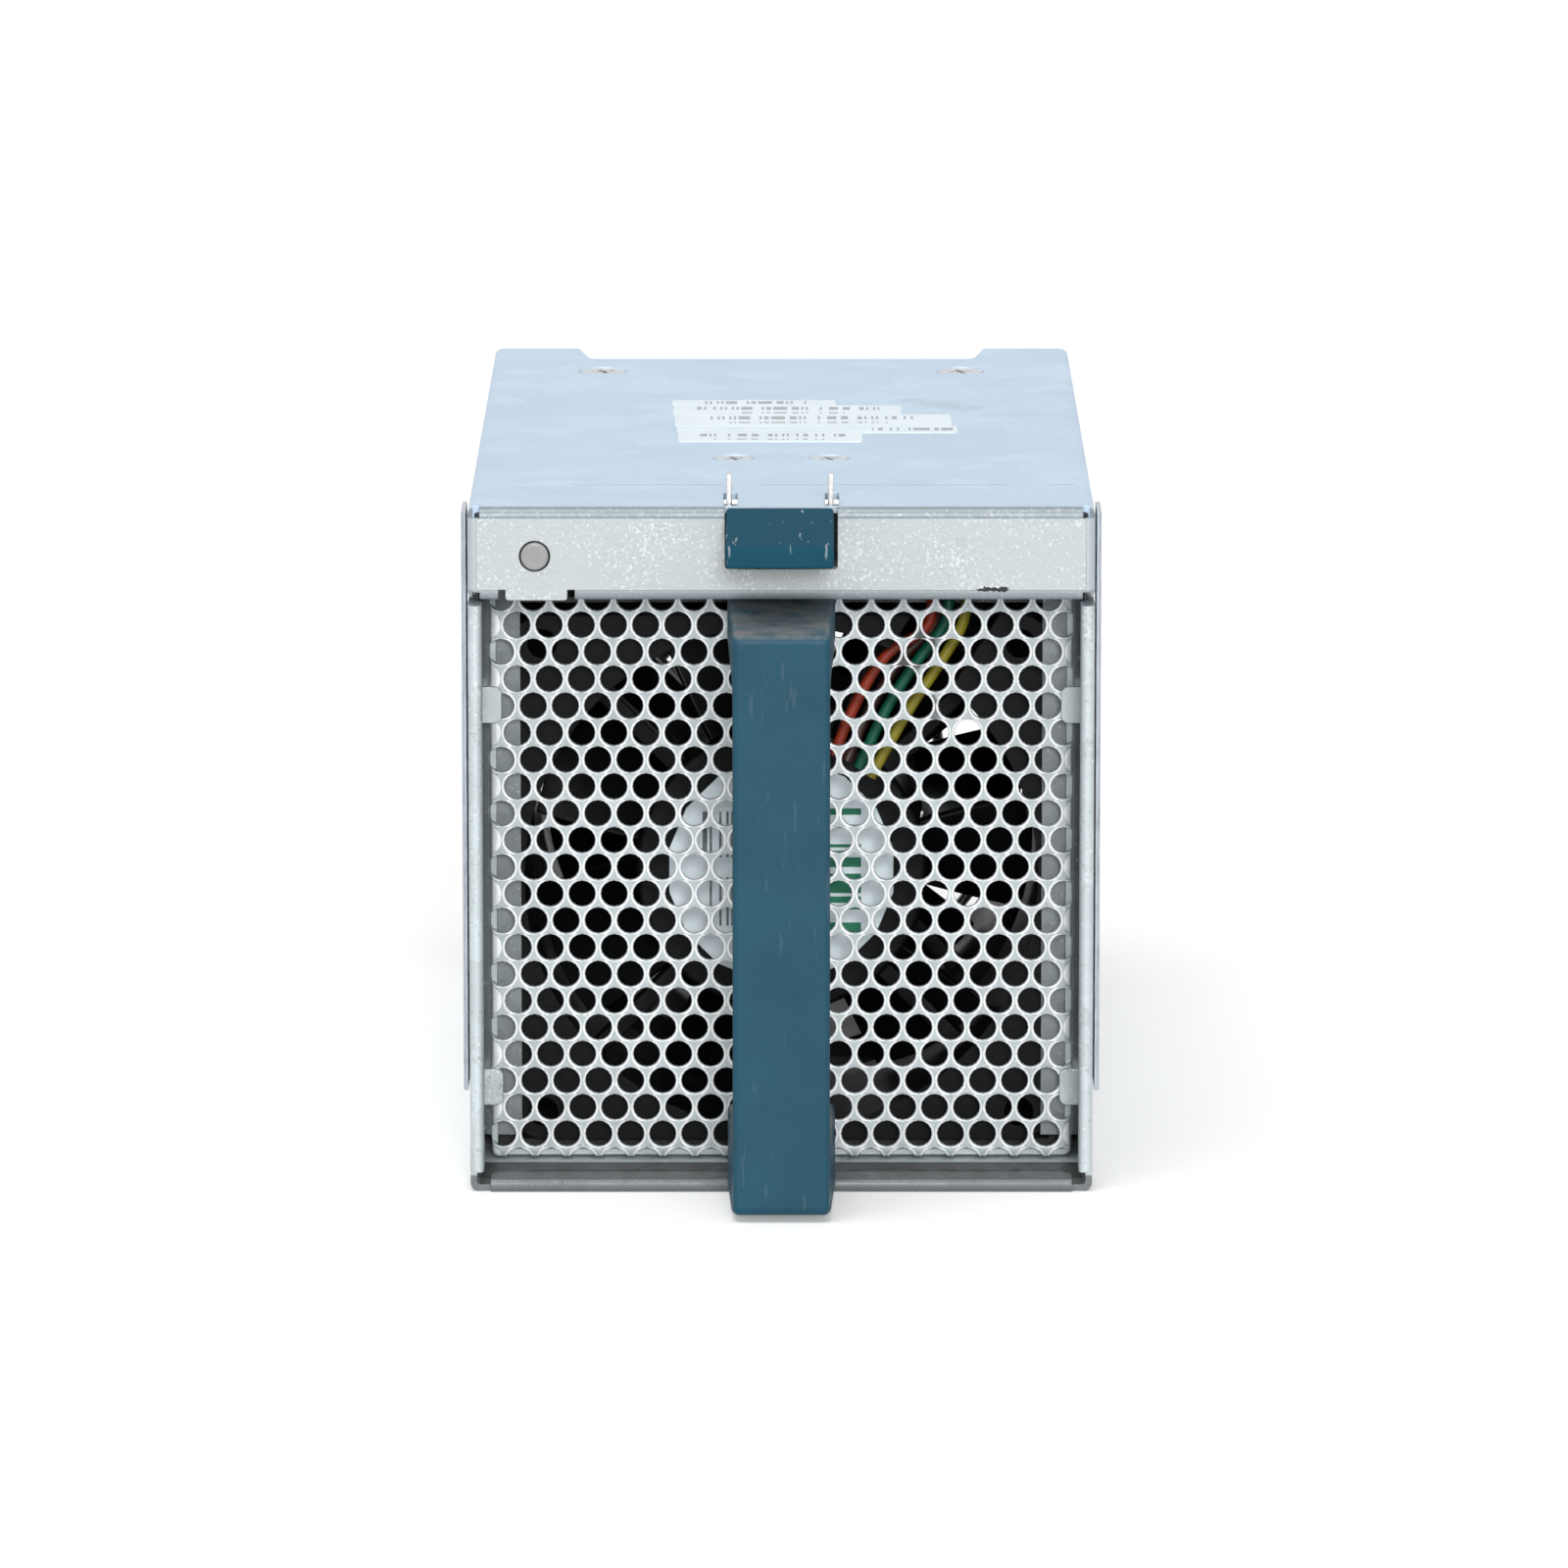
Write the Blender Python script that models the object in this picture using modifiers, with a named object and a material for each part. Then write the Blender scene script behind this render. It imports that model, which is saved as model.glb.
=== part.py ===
"""Hot-swap fan module of a server chassis: a sheet steel box with a perforated front, a pull handle,
a spring latch and two axial fans in series. Metres, +Z up, the front faces -Y.
The origin is the centre of the tray's underside."""

import math

import bmesh
import bpy
from mathutils import Matrix, Vector

MM = 0.001

# Driving dimensions
CLEARANCE = 0.3 * MM
BODY_WIDTH = 92.4 * MM
BODY_HEIGHT = 103.0 * MM
BODY_DEPTH = 163.0 * MM
SHEET = 1.0 * MM
BEND_RADIUS = 1.3 * MM
BEZEL_HEIGHT = 13.8 * MM
BEZEL_RETURN = 10.0 * MM
RELIEF_WIDTH = 1.1 * MM
RELIEF_HEIGHT = 1.6 * MM
RELIEF_INSET = 0.7 * MM
RELIEF_BACK = 2.2 * MM
LOW_RELIEF_HEIGHT = 1.2 * MM
REAR_NOTCH_DEPTH = 11.6 * MM
REAR_NOTCH_BOTTOM = 61.4 * MM
REAR_NOTCH_MOUTH = 65.2 * MM
REAR_NOTCH_ROUND = 1.5 * MM

HEM_THICKNESS = 2.0 * MM
HEM_ROUND = 0.7 * MM
RAIL_DEPTH = 5.0 * MM
RAIL_TOP_GAP = 0.9 * MM
RAIL_ROUND = 0.9 * MM
FLOOR_HEM_DEPTH = 6.5 * MM
FLOOR_HEM_SIDE = 3.575 * MM
HEM_CORNER = 3.0 * MM
HEM_SWEEP = 7.0 * MM

GRILLE_SETBACK = 18.0 * MM
GRILLE_WIDTH = 87.0 * MM
GRILLE_TOP_DROP = 11.4 * MM
GRILLE_SHEET = 0.9 * MM
GRILLE_PAN = 3.7 * MM
GRILLE_BEND = 0.99 * MM
HOLE_DIAMETER = 3.9 * MM
HOLE_PITCH_X = 4.8 * MM
HOLE_PITCH_Z = 4.08 * MM
HOLE_COLUMNS = 18
HOLE_ROWS = 22
HOLE_LOWEST_Z = 0.9 * MM
HOLE_REACH = 2.3 * MM
HOLE_SIDES = 6

CLIP_HEIGHTS = (12.4 * MM, 70.6 * MM)
CLIP_TALL = 5.5 * MM
CLIP_REACH = 3.5 * MM
CLIP_WINDOW = 4.6 * MM
CLIP_ROUND = 0.99 * MM

GASKET_THICKNESS = 0.7 * MM
GASKET_START = 2.5 * MM
GASKET_WIDTH = 10.0 * MM
GASKET_LOW = 15.0 * MM
GASKET_DROP = 1.0 * MM
GASKET_SLOPE = 2.0 * MM

FAN_SIZE = 80.0 * MM
FAN_DEPTH = 38.0 * MM
FAN_CENTRE_Z = 43.0 * MM
FAN_HOLE_SPACING = 71.5 * MM
FAN_HOLE_RADIUS = 2.2 * MM
FAN_CORNER_RADIUS = 4.0 * MM
FAN_FLANGE = 4.0 * MM
BORE_RADIUS = 38.5 * MM
BARREL_WALL = 1.2 * MM
MOTOR_BASE_RADIUS = 22.0 * MM
MOTOR_BASE_SETBACK = 6.8 * MM
MOTOR_BASE_THICKNESS = 2.5 * MM
MOTOR_BASE_ROUND = 1.2 * MM
STRUT_COUNT = 4
STRUT_WIDTH = 2.6 * MM
STRUT_DEPTH = 3.8 * MM
LEAD_SLOT_WIDTH = 11.0 * MM
LEAD_SLOT_DEPTH = 10.4 * MM
LEAD_SLOT_ANGLE = 57.0
FRONT_FAN_SETBACK = 23.2 * MM
REAR_FAN_SETBACK = 84.0 * MM
BRACKET_SHEET = 0.9 * MM
BRACKET_LIP = 5.9 * MM
BRACKET_LOW = 4.0 * MM
BRACKET_HIGH = 88.0 * MM

BLADE_COUNT = 7
BLADE_TIP_GAP = 0.8 * MM
BLADE_LENGTH = 20.0 * MM
BLADE_THICKNESS = 1.5 * MM
BLADE_ROOT_ANGLE = 58.0
BLADE_TIP_ANGLE = 33.0
BLADE_CAMBER = 0.09
BLADE_STATIONS = (0.0, 0.35, 0.7, 1.0)
HUB_RADIUS = 21.5 * MM
HUB_WALL = 1.1 * MM
HUB_START = 12.2 * MM
HUB_END = 34.5 * MM
HUB_CAP = 1.6 * MM
HUB_ROUND = 1.5 * MM
YOKE_WALL = 0.8 * MM
MAGNET_WALL = 1.7 * MM
MAGNET_LENGTH = 13.0 * MM
STATOR_GAP = 0.9 * MM
STATOR_START = 14.4 * MM
STATOR_LENGTH = 9.5 * MM
POLE_COUNT = 4
POLE_NECK = 4.4 * MM
POLE_ROOT = 5.2 * MM
POLE_SHOE = 2.0 * MM
COIL_WALL = 1.5 * MM
SHAFT_RADIUS = 1.5 * MM
BEARING_SECTION = 2.1 * MM
BEARING_WIDTH = 3.5 * MM
TUBE_WALL = 1.2 * MM
TUBE_END = 30.0 * MM
MOTOR_BOARD_THICKNESS = 1.2 * MM
MOTOR_BOARD_RADIUS = 17.0 * MM
MOTOR_BOARD_RISE = 1.2 * MM
STATOR_RING = 1.6 * MM
POLE_SPREAD = 0.4

BOOT_RISE = 9.0 * MM
BOOT_INSET = 2.0 * MM
SHELF_SHEET = 0.8 * MM
SHELF_FRONT = 33.5 * MM
SHELF_LIP = 4.6 * MM
SHELF_WINDOW_WIDTH = 8.0 * MM

HANDLE_WIDTH = 14.2 * MM
HANDLE_FOOT_WIDTH = 16.1 * MM
HANDLE_PROUD = 21.0 * MM
HANDLE_LOW = 1.0 * MM
HANDLE_DROP = 1.6 * MM
HANDLE_BAR = 6.0 * MM
HANDLE_ARM = 7.2 * MM
HANDLE_ROUND = 1.1 * MM
HANDLE_CORNER = 3.0 * MM
HANDLE_INNER_CORNER = 6.0 * MM
HANDLE_TAPER_SHARE = 1.3
HANDLE_SCREW_HOLES = {"lower": (1, 8), "upper": (20, 9)}
HANDLE_SCREW_RADIUS = 1.5 * MM
HANDLE_SCREW_LENGTH = 9.0 * MM
HANDLE_HEAD_RADIUS = 2.6 * MM
HANDLE_HEAD_HEIGHT = 1.6 * MM

LATCH_SHIFT = -0.2 * MM
LATCH_WIDTH = 15.8 * MM
LATCH_PROUD = 15.9 * MM
LATCH_LIP_TALL = 3.3 * MM
LATCH_LIP_DROP = 3.2 * MM
LATCH_REAR_DROP = 5.1 * MM
LATCH_REAR_GAP = 0.2 * MM
LATCH_REAR_START = 0.4 * MM
LATCH_REAR_BACK = 1.3 * MM
LATCH_ROUND = 0.35 * MM
LATCH_LIP_ROUNDS = (0.4 * MM, 0.6 * MM)
LEAF_THICKNESS = 0.75 * MM
LEAF_DROP = 1.65 * MM
LEAF_WIDTH = 15.0 * MM
LEAF_SHOULDER = 0.6 * MM
LEAF_TAPER = 6.0 * MM
TONGUE_ROUND = 1.0 * MM
TONGUE_WIDTH = 12.0 * MM
TONGUE_REACH = 8.0 * MM
BARB_START = 3.4 * MM
BARB_END = 13.4 * MM
BARB_PROUD = 4.4 * MM
BARB_FLAT = 1.6 * MM
BARB_BACK_PROUD = 0.4 * MM
BARB_ROOT = 0.3 * MM
BARB_SLOT_WIDTH = 2.05 * MM
BARB_SLOT_START = 2.5 * MM
BARB_SLOT_END = 14.4 * MM
LATCH_OPENING_WIDTH = 16.6 * MM
LATCH_OPENING_DROP = 9.1 * MM
LATCH_OPENING_BACK = 1.4 * MM
LATCH_SCREW_SPACING = 14.4 * MM
LATCH_SCREW_SETBACK = 48.3 * MM
LATCH_BASE_WIDTH = 24.0 * MM
LATCH_BASE_FRONT = 44.5 * MM
LATCH_BASE_BACK = 53.5 * MM
LATCH_HEAD_RADIUS = 2.9 * MM

COVER_SCREW_SPACING = 56.8 * MM
COVER_SCREW_SETBACK = 138.5 * MM
COVER_HEAD_RADIUS = 3.6 * MM
SCREW_RADIUS = 1.5 * MM
SCREW_LENGTH = 5.0 * MM

LENS_RADIUS = 2.05 * MM
LENS_INSET = 9.9 * MM
LENS_DROP = 7.2 * MM
LENS_PROUD = 0.4 * MM
LENS_LENGTH = 5.5 * MM
TAB_INSET = 5.6 * MM
TAB_WIDTH = 9.1 * MM
TAB_RELIEF = 1.1 * MM

BOARD_THICKNESS = 1.6 * MM
BOARD_INSET = 1.8 * MM
BOARD_WIDTH = 26.4 * MM
BOARD_START = 3.5 * MM
BOARD_END = 46.0 * MM
STAND_SETBACK = 40.0 * MM
STAND_INSET = 4.4 * MM
STAND_DEPTH = 5.0 * MM
STAND_FOOT = 1.6 * MM
STAND_PIN = 1.1 * MM
LED_LENGTH = 3.4 * MM
LED_WIDTH = 4.6 * MM
LED_ROUND = 0.4 * MM

CONNECTOR_WIDTH = 38.0 * MM
CONNECTOR_HEIGHT = 11.0 * MM
CONNECTOR_DROP = 3.5 * MM
CONNECTOR_LENGTH = 10.0 * MM
CONNECTOR_WALL = 1.5 * MM
CONNECTOR_ROUND = 0.8 * MM
CONNECTOR_FLOOR = 3.5 * MM
CONTACT_COUNT = 8
CONTACT_THICKNESS = 0.8 * MM
CONTACT_TALL = 4.0 * MM
PLATE_WIDTH = 72.0 * MM
PLATE_DROP = 17.5 * MM
PLATE_SETBACK = 150.0 * MM
PLATE_FLANGE = 17.0 * MM
HOOK_WIDTH = 2.0 * MM
HOOK_PROUD = 0.9 * MM
HOOK_TALL = 5.0 * MM

GUARD_RINGS = (13.0 * MM, 25.0 * MM, 37.0 * MM)
GUARD_WIRE = 0.9 * MM
GUARD_SIDES = 18
PAN_HEAD_RADIUS = 3.2 * MM
PAN_HEAD_HEIGHT = 2.0 * MM
LEAD_RADIUS = 0.85 * MM
LEAD_PITCH = 2.1 * MM
LEAD_LEAN = 0.7 * MM
LEAD_STRAIGHT = 10.0 * MM
LEAD_SHIFT = 9.5 * MM
LEAD_CLIMB = 5.0 * MM
LEAD_TAIL = 7.0 * MM
LEAD_END = PLATE_SETBACK - SHEET - CLEARANCE
SLEEVE_RADIUS = 1.9 * MM
SLEEVE_X = 26.2 * MM
SLEEVE_END_X = 12.5 * MM
SLEEVE_SETBACK = REAR_FAN_SETBACK + MOTOR_BASE_SETBACK - CLEARANCE

# The front fan's leads as seen through the grille: places (x, z) in millimetres from the motor base to
# the frame's edge, how far one passes behind the rest, and its row on the shelf
FRONT_LEADS = {
    "red": (((7.9, 60.8), (10.9, 68.1), (15.9, 76.2), (21.9, 80.7)), 0, 1),
    "brown": (((9.8, 59.9), (13.2, 67.5), (18.3, 75.4), (23.2, 80.7)), LEAD_PITCH, 0),
    "green": (((11.6, 58.8), (15.9, 68.1), (20.9, 75.9), (24.4, 80.7)), 0, 1),
    "yellow": (((13.4, 57.5), (19.0, 67.5), (24.8, 76.5), (27.1, 80.7)), 0, 0),
}

# Sides of the round forms
BARREL_SIDES = 32
HUB_SIDES = 20
ROTOR_SIDES = 14

# Places worked out from the driving dimensions
HALF_WIDTH = BODY_WIDTH / 2
WALL_INSIDE = HALF_WIDTH - SHEET
COVER_UNDERSIDE = BODY_HEIGHT - SHEET
GRILLE_TOP = BODY_HEIGHT - GRILLE_TOP_DROP
GASKET_HIGH = BODY_HEIGHT - GASKET_DROP
LATCH_LIP_HIGH = BODY_HEIGHT - LATCH_LIP_DROP
LATCH_LIP_LOW = LATCH_LIP_HIGH - LATCH_LIP_TALL
LATCH_REAR_LOW = BODY_HEIGHT - LATCH_REAR_DROP
LATCH_OPENING_LOW = BODY_HEIGHT - LATCH_OPENING_DROP
LENS_X = LENS_INSET - HALF_WIDTH
LENS_Z = BODY_HEIGHT - LENS_DROP
TAB_LEFT = TAB_INSET - HALF_WIDTH
TAB_RIGHT = TAB_LEFT + TAB_WIDTH
BOARD_LEFT = BOARD_INSET - HALF_WIDTH
BOARD_RIGHT = BOARD_LEFT + BOARD_WIDTH
CONNECTOR_TOP = BODY_HEIGHT - CONNECTOR_DROP
PLATE_LOW = BODY_HEIGHT - PLATE_DROP
BEZEL_LOW = BODY_HEIGHT - BEZEL_HEIGHT
HANDLE_HIGH = BEZEL_LOW - HANDLE_DROP
FLANGE_LOW = BEZEL_LOW + SHEET + 0.7 * MM
WALL_TOP = FLANGE_LOW - CLEARANCE
FAN_LOW = FAN_CENTRE_Z - FAN_SIZE / 2
FAN_HIGH = FAN_CENTRE_Z + FAN_SIZE / 2
BRACKET_OUTSIDE = WALL_INSIDE - CLEARANCE
BRACKET_INSIDE = BRACKET_OUTSIDE - BRACKET_SHEET
LEAF_TOP = COVER_UNDERSIDE - LEAF_DROP
LEAF_LOW = LEAF_TOP - LEAF_THICKNESS
SHELF_LOW = FAN_HIGH + CLEARANCE
SHELF_TOP = SHELF_LOW + SHELF_SHEET
BEARING_INNER = SHAFT_RADIUS + CLEARANCE
BEARING_OUTER = BEARING_INNER + BEARING_SECTION
TUBE_INSIDE = BEARING_OUTER + CLEARANCE
TUBE_RADIUS = TUBE_INSIDE + TUBE_WALL
YOKE_RADIUS = HUB_RADIUS - HUB_WALL - CLEARANCE
MAGNET_RADIUS = YOKE_RADIUS - YOKE_WALL - CLEARANCE
STATOR_RADIUS = MAGNET_RADIUS - MAGNET_WALL - STATOR_GAP
BOARD_LOW = GRILLE_TOP + CLEARANCE


def at(setback):
    """World Y of a place that lies this far behind the front plane."""
    return setback - BODY_DEPTH / 2


def clear_scene():
    for item in list(bpy.data.objects):
        bpy.data.objects.remove(item, do_unlink=True)


def collection(name):
    made = bpy.data.collections.new(name)
    bpy.context.scene.collection.children.link(made)
    return made


def material(name, colour, roughness, metallic=0.0):
    made = bpy.data.materials.new(name)
    made.use_nodes = True
    shader = made.node_tree.nodes["Principled BSDF"]
    shader.inputs["Base Color"].default_value = (*colour, 1.0)
    shader.inputs["Roughness"].default_value = roughness
    shader.inputs["Metallic"].default_value = metallic
    made.diffuse_color = (*colour, 1.0)
    return made


clear_scene()
PARTS = collection("server_fan_module")
TOOLS = collection("cutters")

ZINC = material("zinc_steel", (0.60, 0.67, 0.72), 0.45, 0.8)
BEZEL_STEEL = material("cover_steel", (0.66, 0.72, 0.78), 0.45, 0.7)
STEEL = material("bright_steel", (0.62, 0.62, 0.60), 0.3, 1.0)
BLUE = material("blue_plastic", (0.03, 0.10, 0.15), 0.4)
BLACK = material("black_plastic", (0.012, 0.012, 0.014), 0.4)
RUBBER = material("rubber", (0.02, 0.02, 0.02), 0.8)
COPPER = material("copper", (0.65, 0.28, 0.12), 0.35, 1.0)
BOARD = material("circuit_board", (0.02, 0.12, 0.06), 0.5)
LENS = material("lens", (0.38, 0.38, 0.38), 0.3)
FERRITE = material("ferrite", (0.08, 0.08, 0.085), 0.6)
BRASS = material("gold_contact", (0.75, 0.55, 0.25), 0.3, 1.0)
RED = material("red_lead", (0.55, 0.06, 0.02), 0.45)
BROWN = material("brown_lead", (0.08, 0.035, 0.025), 0.45)
GREEN = material("green_lead", (0.01, 0.20, 0.14), 0.45)
YELLOW = material("yellow_lead", (0.55, 0.42, 0.04), 0.45)


def add(name, mesh, surface=None):
    """Put a mesh into the part, or among the cutters when it has no surface."""
    made = bpy.data.objects.new(name, mesh)
    if surface is None:
        TOOLS.objects.link(made)
        made.hide_render = True
        made.display_type = "WIRE"
    else:
        PARTS.objects.link(made)
        mesh.materials.append(surface)
    return made


def finish_mesh(name, shape, surface=None):
    mesh = bpy.data.meshes.new(name)
    shape.to_mesh(mesh)
    shape.free()
    return add(name, mesh, surface)


def block(name, low, high, surface=None, bevel=0.0, segments=1):
    """Box between two corners, with its edges rounded when a bevel is given."""
    shape = bmesh.new()
    size = Vector(high) - Vector(low)
    centre = (Vector(high) + Vector(low)) / 2
    place = Matrix.Translation(centre) @ Matrix.Diagonal((*size, 1.0))
    bmesh.ops.create_cube(shape, size=1.0, matrix=place)
    made = finish_mesh(name, shape, surface)
    if bevel:
        soften(made, bevel, segments)
    return made


def soften(item, width, segments=1, angle=50.0):
    rounding = item.modifiers.new("Rounding", "BEVEL")
    rounding.width = width
    rounding.segments = segments
    rounding.limit_method = "ANGLE"
    rounding.angle_limit = math.radians(angle)


def rod(name, centre, axis, radius, length, surface=None, sides=16, far_radius=None):
    """Cylinder or cone whose near end is centred at a point; it runs along an axis."""
    shape = bmesh.new()
    turn = Vector((0, 0, 1)).rotation_difference(Vector(axis)).to_matrix().to_4x4()
    place = Matrix.Translation(Vector(centre)) @ turn @ Matrix.Translation((0, 0, length / 2))
    bmesh.ops.create_cone(
        shape,
        cap_ends=True,
        segments=sides,
        radius1=radius,
        radius2=radius if far_radius is None else far_radius,
        depth=length,
        matrix=place,
    )
    return finish_mesh(name, shape, surface)


def rounded(corners, radius, steps=3):
    """Outline with each corner replaced by an arc. A corner may bring a radius of its own."""
    outline = []
    count = len(corners)
    for index, corner in enumerate(corners):
        here = Vector(corner[:2])
        size = corner[2] if len(corner) > 2 else radius
        before = (Vector(corners[index - 1][:2]) - here).normalized()
        after = (Vector(corners[(index + 1) % count][:2]) - here).normalized()
        half = before.angle(after) / 2
        if size <= 0:
            outline.append(tuple(here))
            continue
        centre = here + (before + after).normalized() * size / math.sin(half)
        start = here + before * size / math.tan(half) - centre
        end = here + after * size / math.tan(half) - centre
        sweep = start.angle_signed(end)
        for step in range(steps + 1):
            outline.append(tuple(centre + Matrix.Rotation(-sweep * step / steps, 2) @ start))
    return outline


AXES = {
    "X": Matrix(((0, 0, 1, 0), (1, 0, 0, 0), (0, 1, 0, 0), (0, 0, 0, 1))),
    "Y": Matrix(((1, 0, 0, 0), (0, 0, -1, 0), (0, 1, 0, 0), (0, 0, 0, 1))),
    "Z": Matrix.Identity(4),
}


def prism(name, outline, axis, low, high, surface=None):
    """Flat outline, given in the plane across an axis, extruded between two places on that axis.
    The curve is drawn in millimetres, because a curve's fill is coarse on sizes this small."""
    curve = bpy.data.curves.new(name, "CURVE")
    curve.dimensions = "2D"
    curve.fill_mode = "BOTH"
    curve.extrude = (high - low) / 2 / MM
    spline = curve.splines.new("POLY")
    spline.points.add(len(outline) - 1)
    for point, (across, up) in zip(spline.points, outline):
        point.co = (across / MM, up / MM, 0, 1)
    spline.use_cyclic_u = True
    flat = bpy.data.objects.new(name, curve)
    TOOLS.objects.link(flat)
    bpy.context.view_layer.update()
    mesh = bpy.data.meshes.new_from_object(flat.evaluated_get(bpy.context.evaluated_depsgraph_get()))
    bpy.data.objects.remove(flat)
    middle = (low + high) / 2
    shape = bmesh.new()
    shape.from_mesh(mesh)
    bpy.data.meshes.remove(mesh)
    bmesh.ops.remove_doubles(shape, verts=shape.verts, dist=0.01)
    bmesh.ops.dissolve_limit(shape, angle_limit=math.radians(1), verts=shape.verts, edges=shape.edges)
    along = -middle if axis == "Y" else middle
    place = AXES[axis] @ Matrix.Translation((0, 0, along)) @ Matrix.Diagonal((MM, MM, MM, 1))
    bmesh.ops.transform(shape, matrix=place, verts=shape.verts)
    bmesh.ops.recalc_face_normals(shape, faces=shape.faces)
    if shape.calc_volume(signed=True) < 0:
        bmesh.ops.reverse_faces(shape, faces=shape.faces)
    return finish_mesh(name, shape, surface)


def turned(name, profile, place, surface=None, steps=24, ring=True):
    """Profile of (radius, setback) pairs revolved about the fan axis through a place.
    A ring's profile closes on itself; a solid's starts and ends on the axis."""
    mesh = bpy.data.meshes.new(name)
    points = [(radius, 0, height) for radius, height in profile]
    edges = [(index, index + 1) for index in range(len(points) - 1)]
    if ring:
        edges.append((len(points) - 1, 0))
    mesh.from_pydata(points, edges, [])
    made = add(name, mesh, surface)
    made.location = place
    made.rotation_euler = (-math.pi / 2, 0, 0)
    screw = made.modifiers.new("Turn", "SCREW")
    screw.steps = steps
    screw.render_steps = steps
    screw.use_merge_vertices = True
    screw.merge_threshold = 0.00001
    return made


def fold(name, profile, axis, low, high, thickness, surface=None, radius=0.0, inside=(0, 0, 0)):
    """Sheet folded along a profile: an open surface with bends, thickened towards a point inside."""
    shape = bmesh.new()
    turn = AXES[axis]
    start = -low if axis == "Y" else low
    run = -(high - low) if axis == "Y" else high - low
    chain = [shape.verts.new(turn @ Vector((across, up, start))) for across, up in profile]
    edges = [shape.edges.new(pair) for pair in zip(chain, chain[1:])]
    made = bmesh.ops.extrude_edge_only(shape, edges=edges)
    moved = [item for item in made["geom"] if isinstance(item, bmesh.types.BMVert)]
    bmesh.ops.translate(shape, verts=moved, vec=turn @ Vector((0, 0, run)))
    point_outwards(shape, Vector(inside))
    item = finish_mesh(name, shape, surface)
    bend(item, radius or thickness * 1.2)
    thicken(item, thickness)
    return item


def point_outwards(shape, inside):
    shape.normal_update()
    for face in shape.faces:
        if face.normal.dot(face.calc_center_median() - inside) < 0:
            face.normal_flip()


def bend(item, radius, segments=2):
    bends = item.modifiers.new("Bends", "BEVEL")
    bends.width = radius
    bends.segments = segments
    bends.limit_method = "ANGLE"
    bends.angle_limit = math.radians(40)


def thicken(item, thickness):
    wall = item.modifiers.new("Sheet", "SOLIDIFY")
    wall.thickness = thickness
    wall.offset = -1
    wall.use_even_offset = True


def combine(item, operation, tools):
    for tool in tools:
        step = item.modifiers.new(operation.title(), "BOOLEAN")
        step.operation = operation
        step.solver = "EXACT"
        step.object = tool


def cut(item, *tools):
    combine(item, "DIFFERENCE", tools)


def join(item, *tools):
    combine(item, "UNION", tools)


def countersunk_screw(name, x, setback, head_radius, surface=None, length=SCREW_LENGTH, sides=12):
    """Flat-headed screw let into the top plate: a turned profile stood upright."""
    top = BODY_HEIGHT - 0.1 * MM
    taper = head_radius - SCREW_RADIUS
    profile = [
        (0, 0),
        (head_radius, 0),
        (head_radius - taper, -taper),
        (SCREW_RADIUS, -length),
        (0, -length),
    ]
    made = turned(name, profile, (x, at(setback), top), surface, steps=sides, ring=False)
    made.rotation_euler = (0, 0, 0)
    return made


def screw_profile(head_radius, head_height, radius, length):
    """Cylinder-headed screw, head towards the positive end, for turning."""
    return [
        (0, head_height),
        (head_radius, head_height),
        (head_radius, 0),
        (radius, 0),
        (radius, -length),
        (0, -length),
    ]


def countersink(name, x, setback, head_radius, sides=12):
    """Cutters for a dimpled screw seat in the top plate and for the screw's hole below it."""
    above = CLEARANCE
    tip = SCREW_RADIUS / 2
    wide = head_radius + CLEARANCE * 1.5 + above
    top = (x, at(setback), BODY_HEIGHT + above)
    seat = rod(name, top, (0, 0, -1), wide, wide - tip, sides=sides, far_radius=tip)
    return [seat, rod(name + "_hole", top, (0, 0, -1), SCREW_RADIUS + CLEARANCE, SCREW_LENGTH, sides=sides)]


def screw_hole(name, x, setback, head_radius, sides=12):
    """Cutter for the hole in what lies under the top plate, wide enough for the dimple's underside."""
    top = (x, at(setback), COVER_UNDERSIDE)
    return rod(name, top, (0, 0, -1), head_radius - SHEET + CLEARANCE, SCREW_LENGTH, sides=sides)


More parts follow.
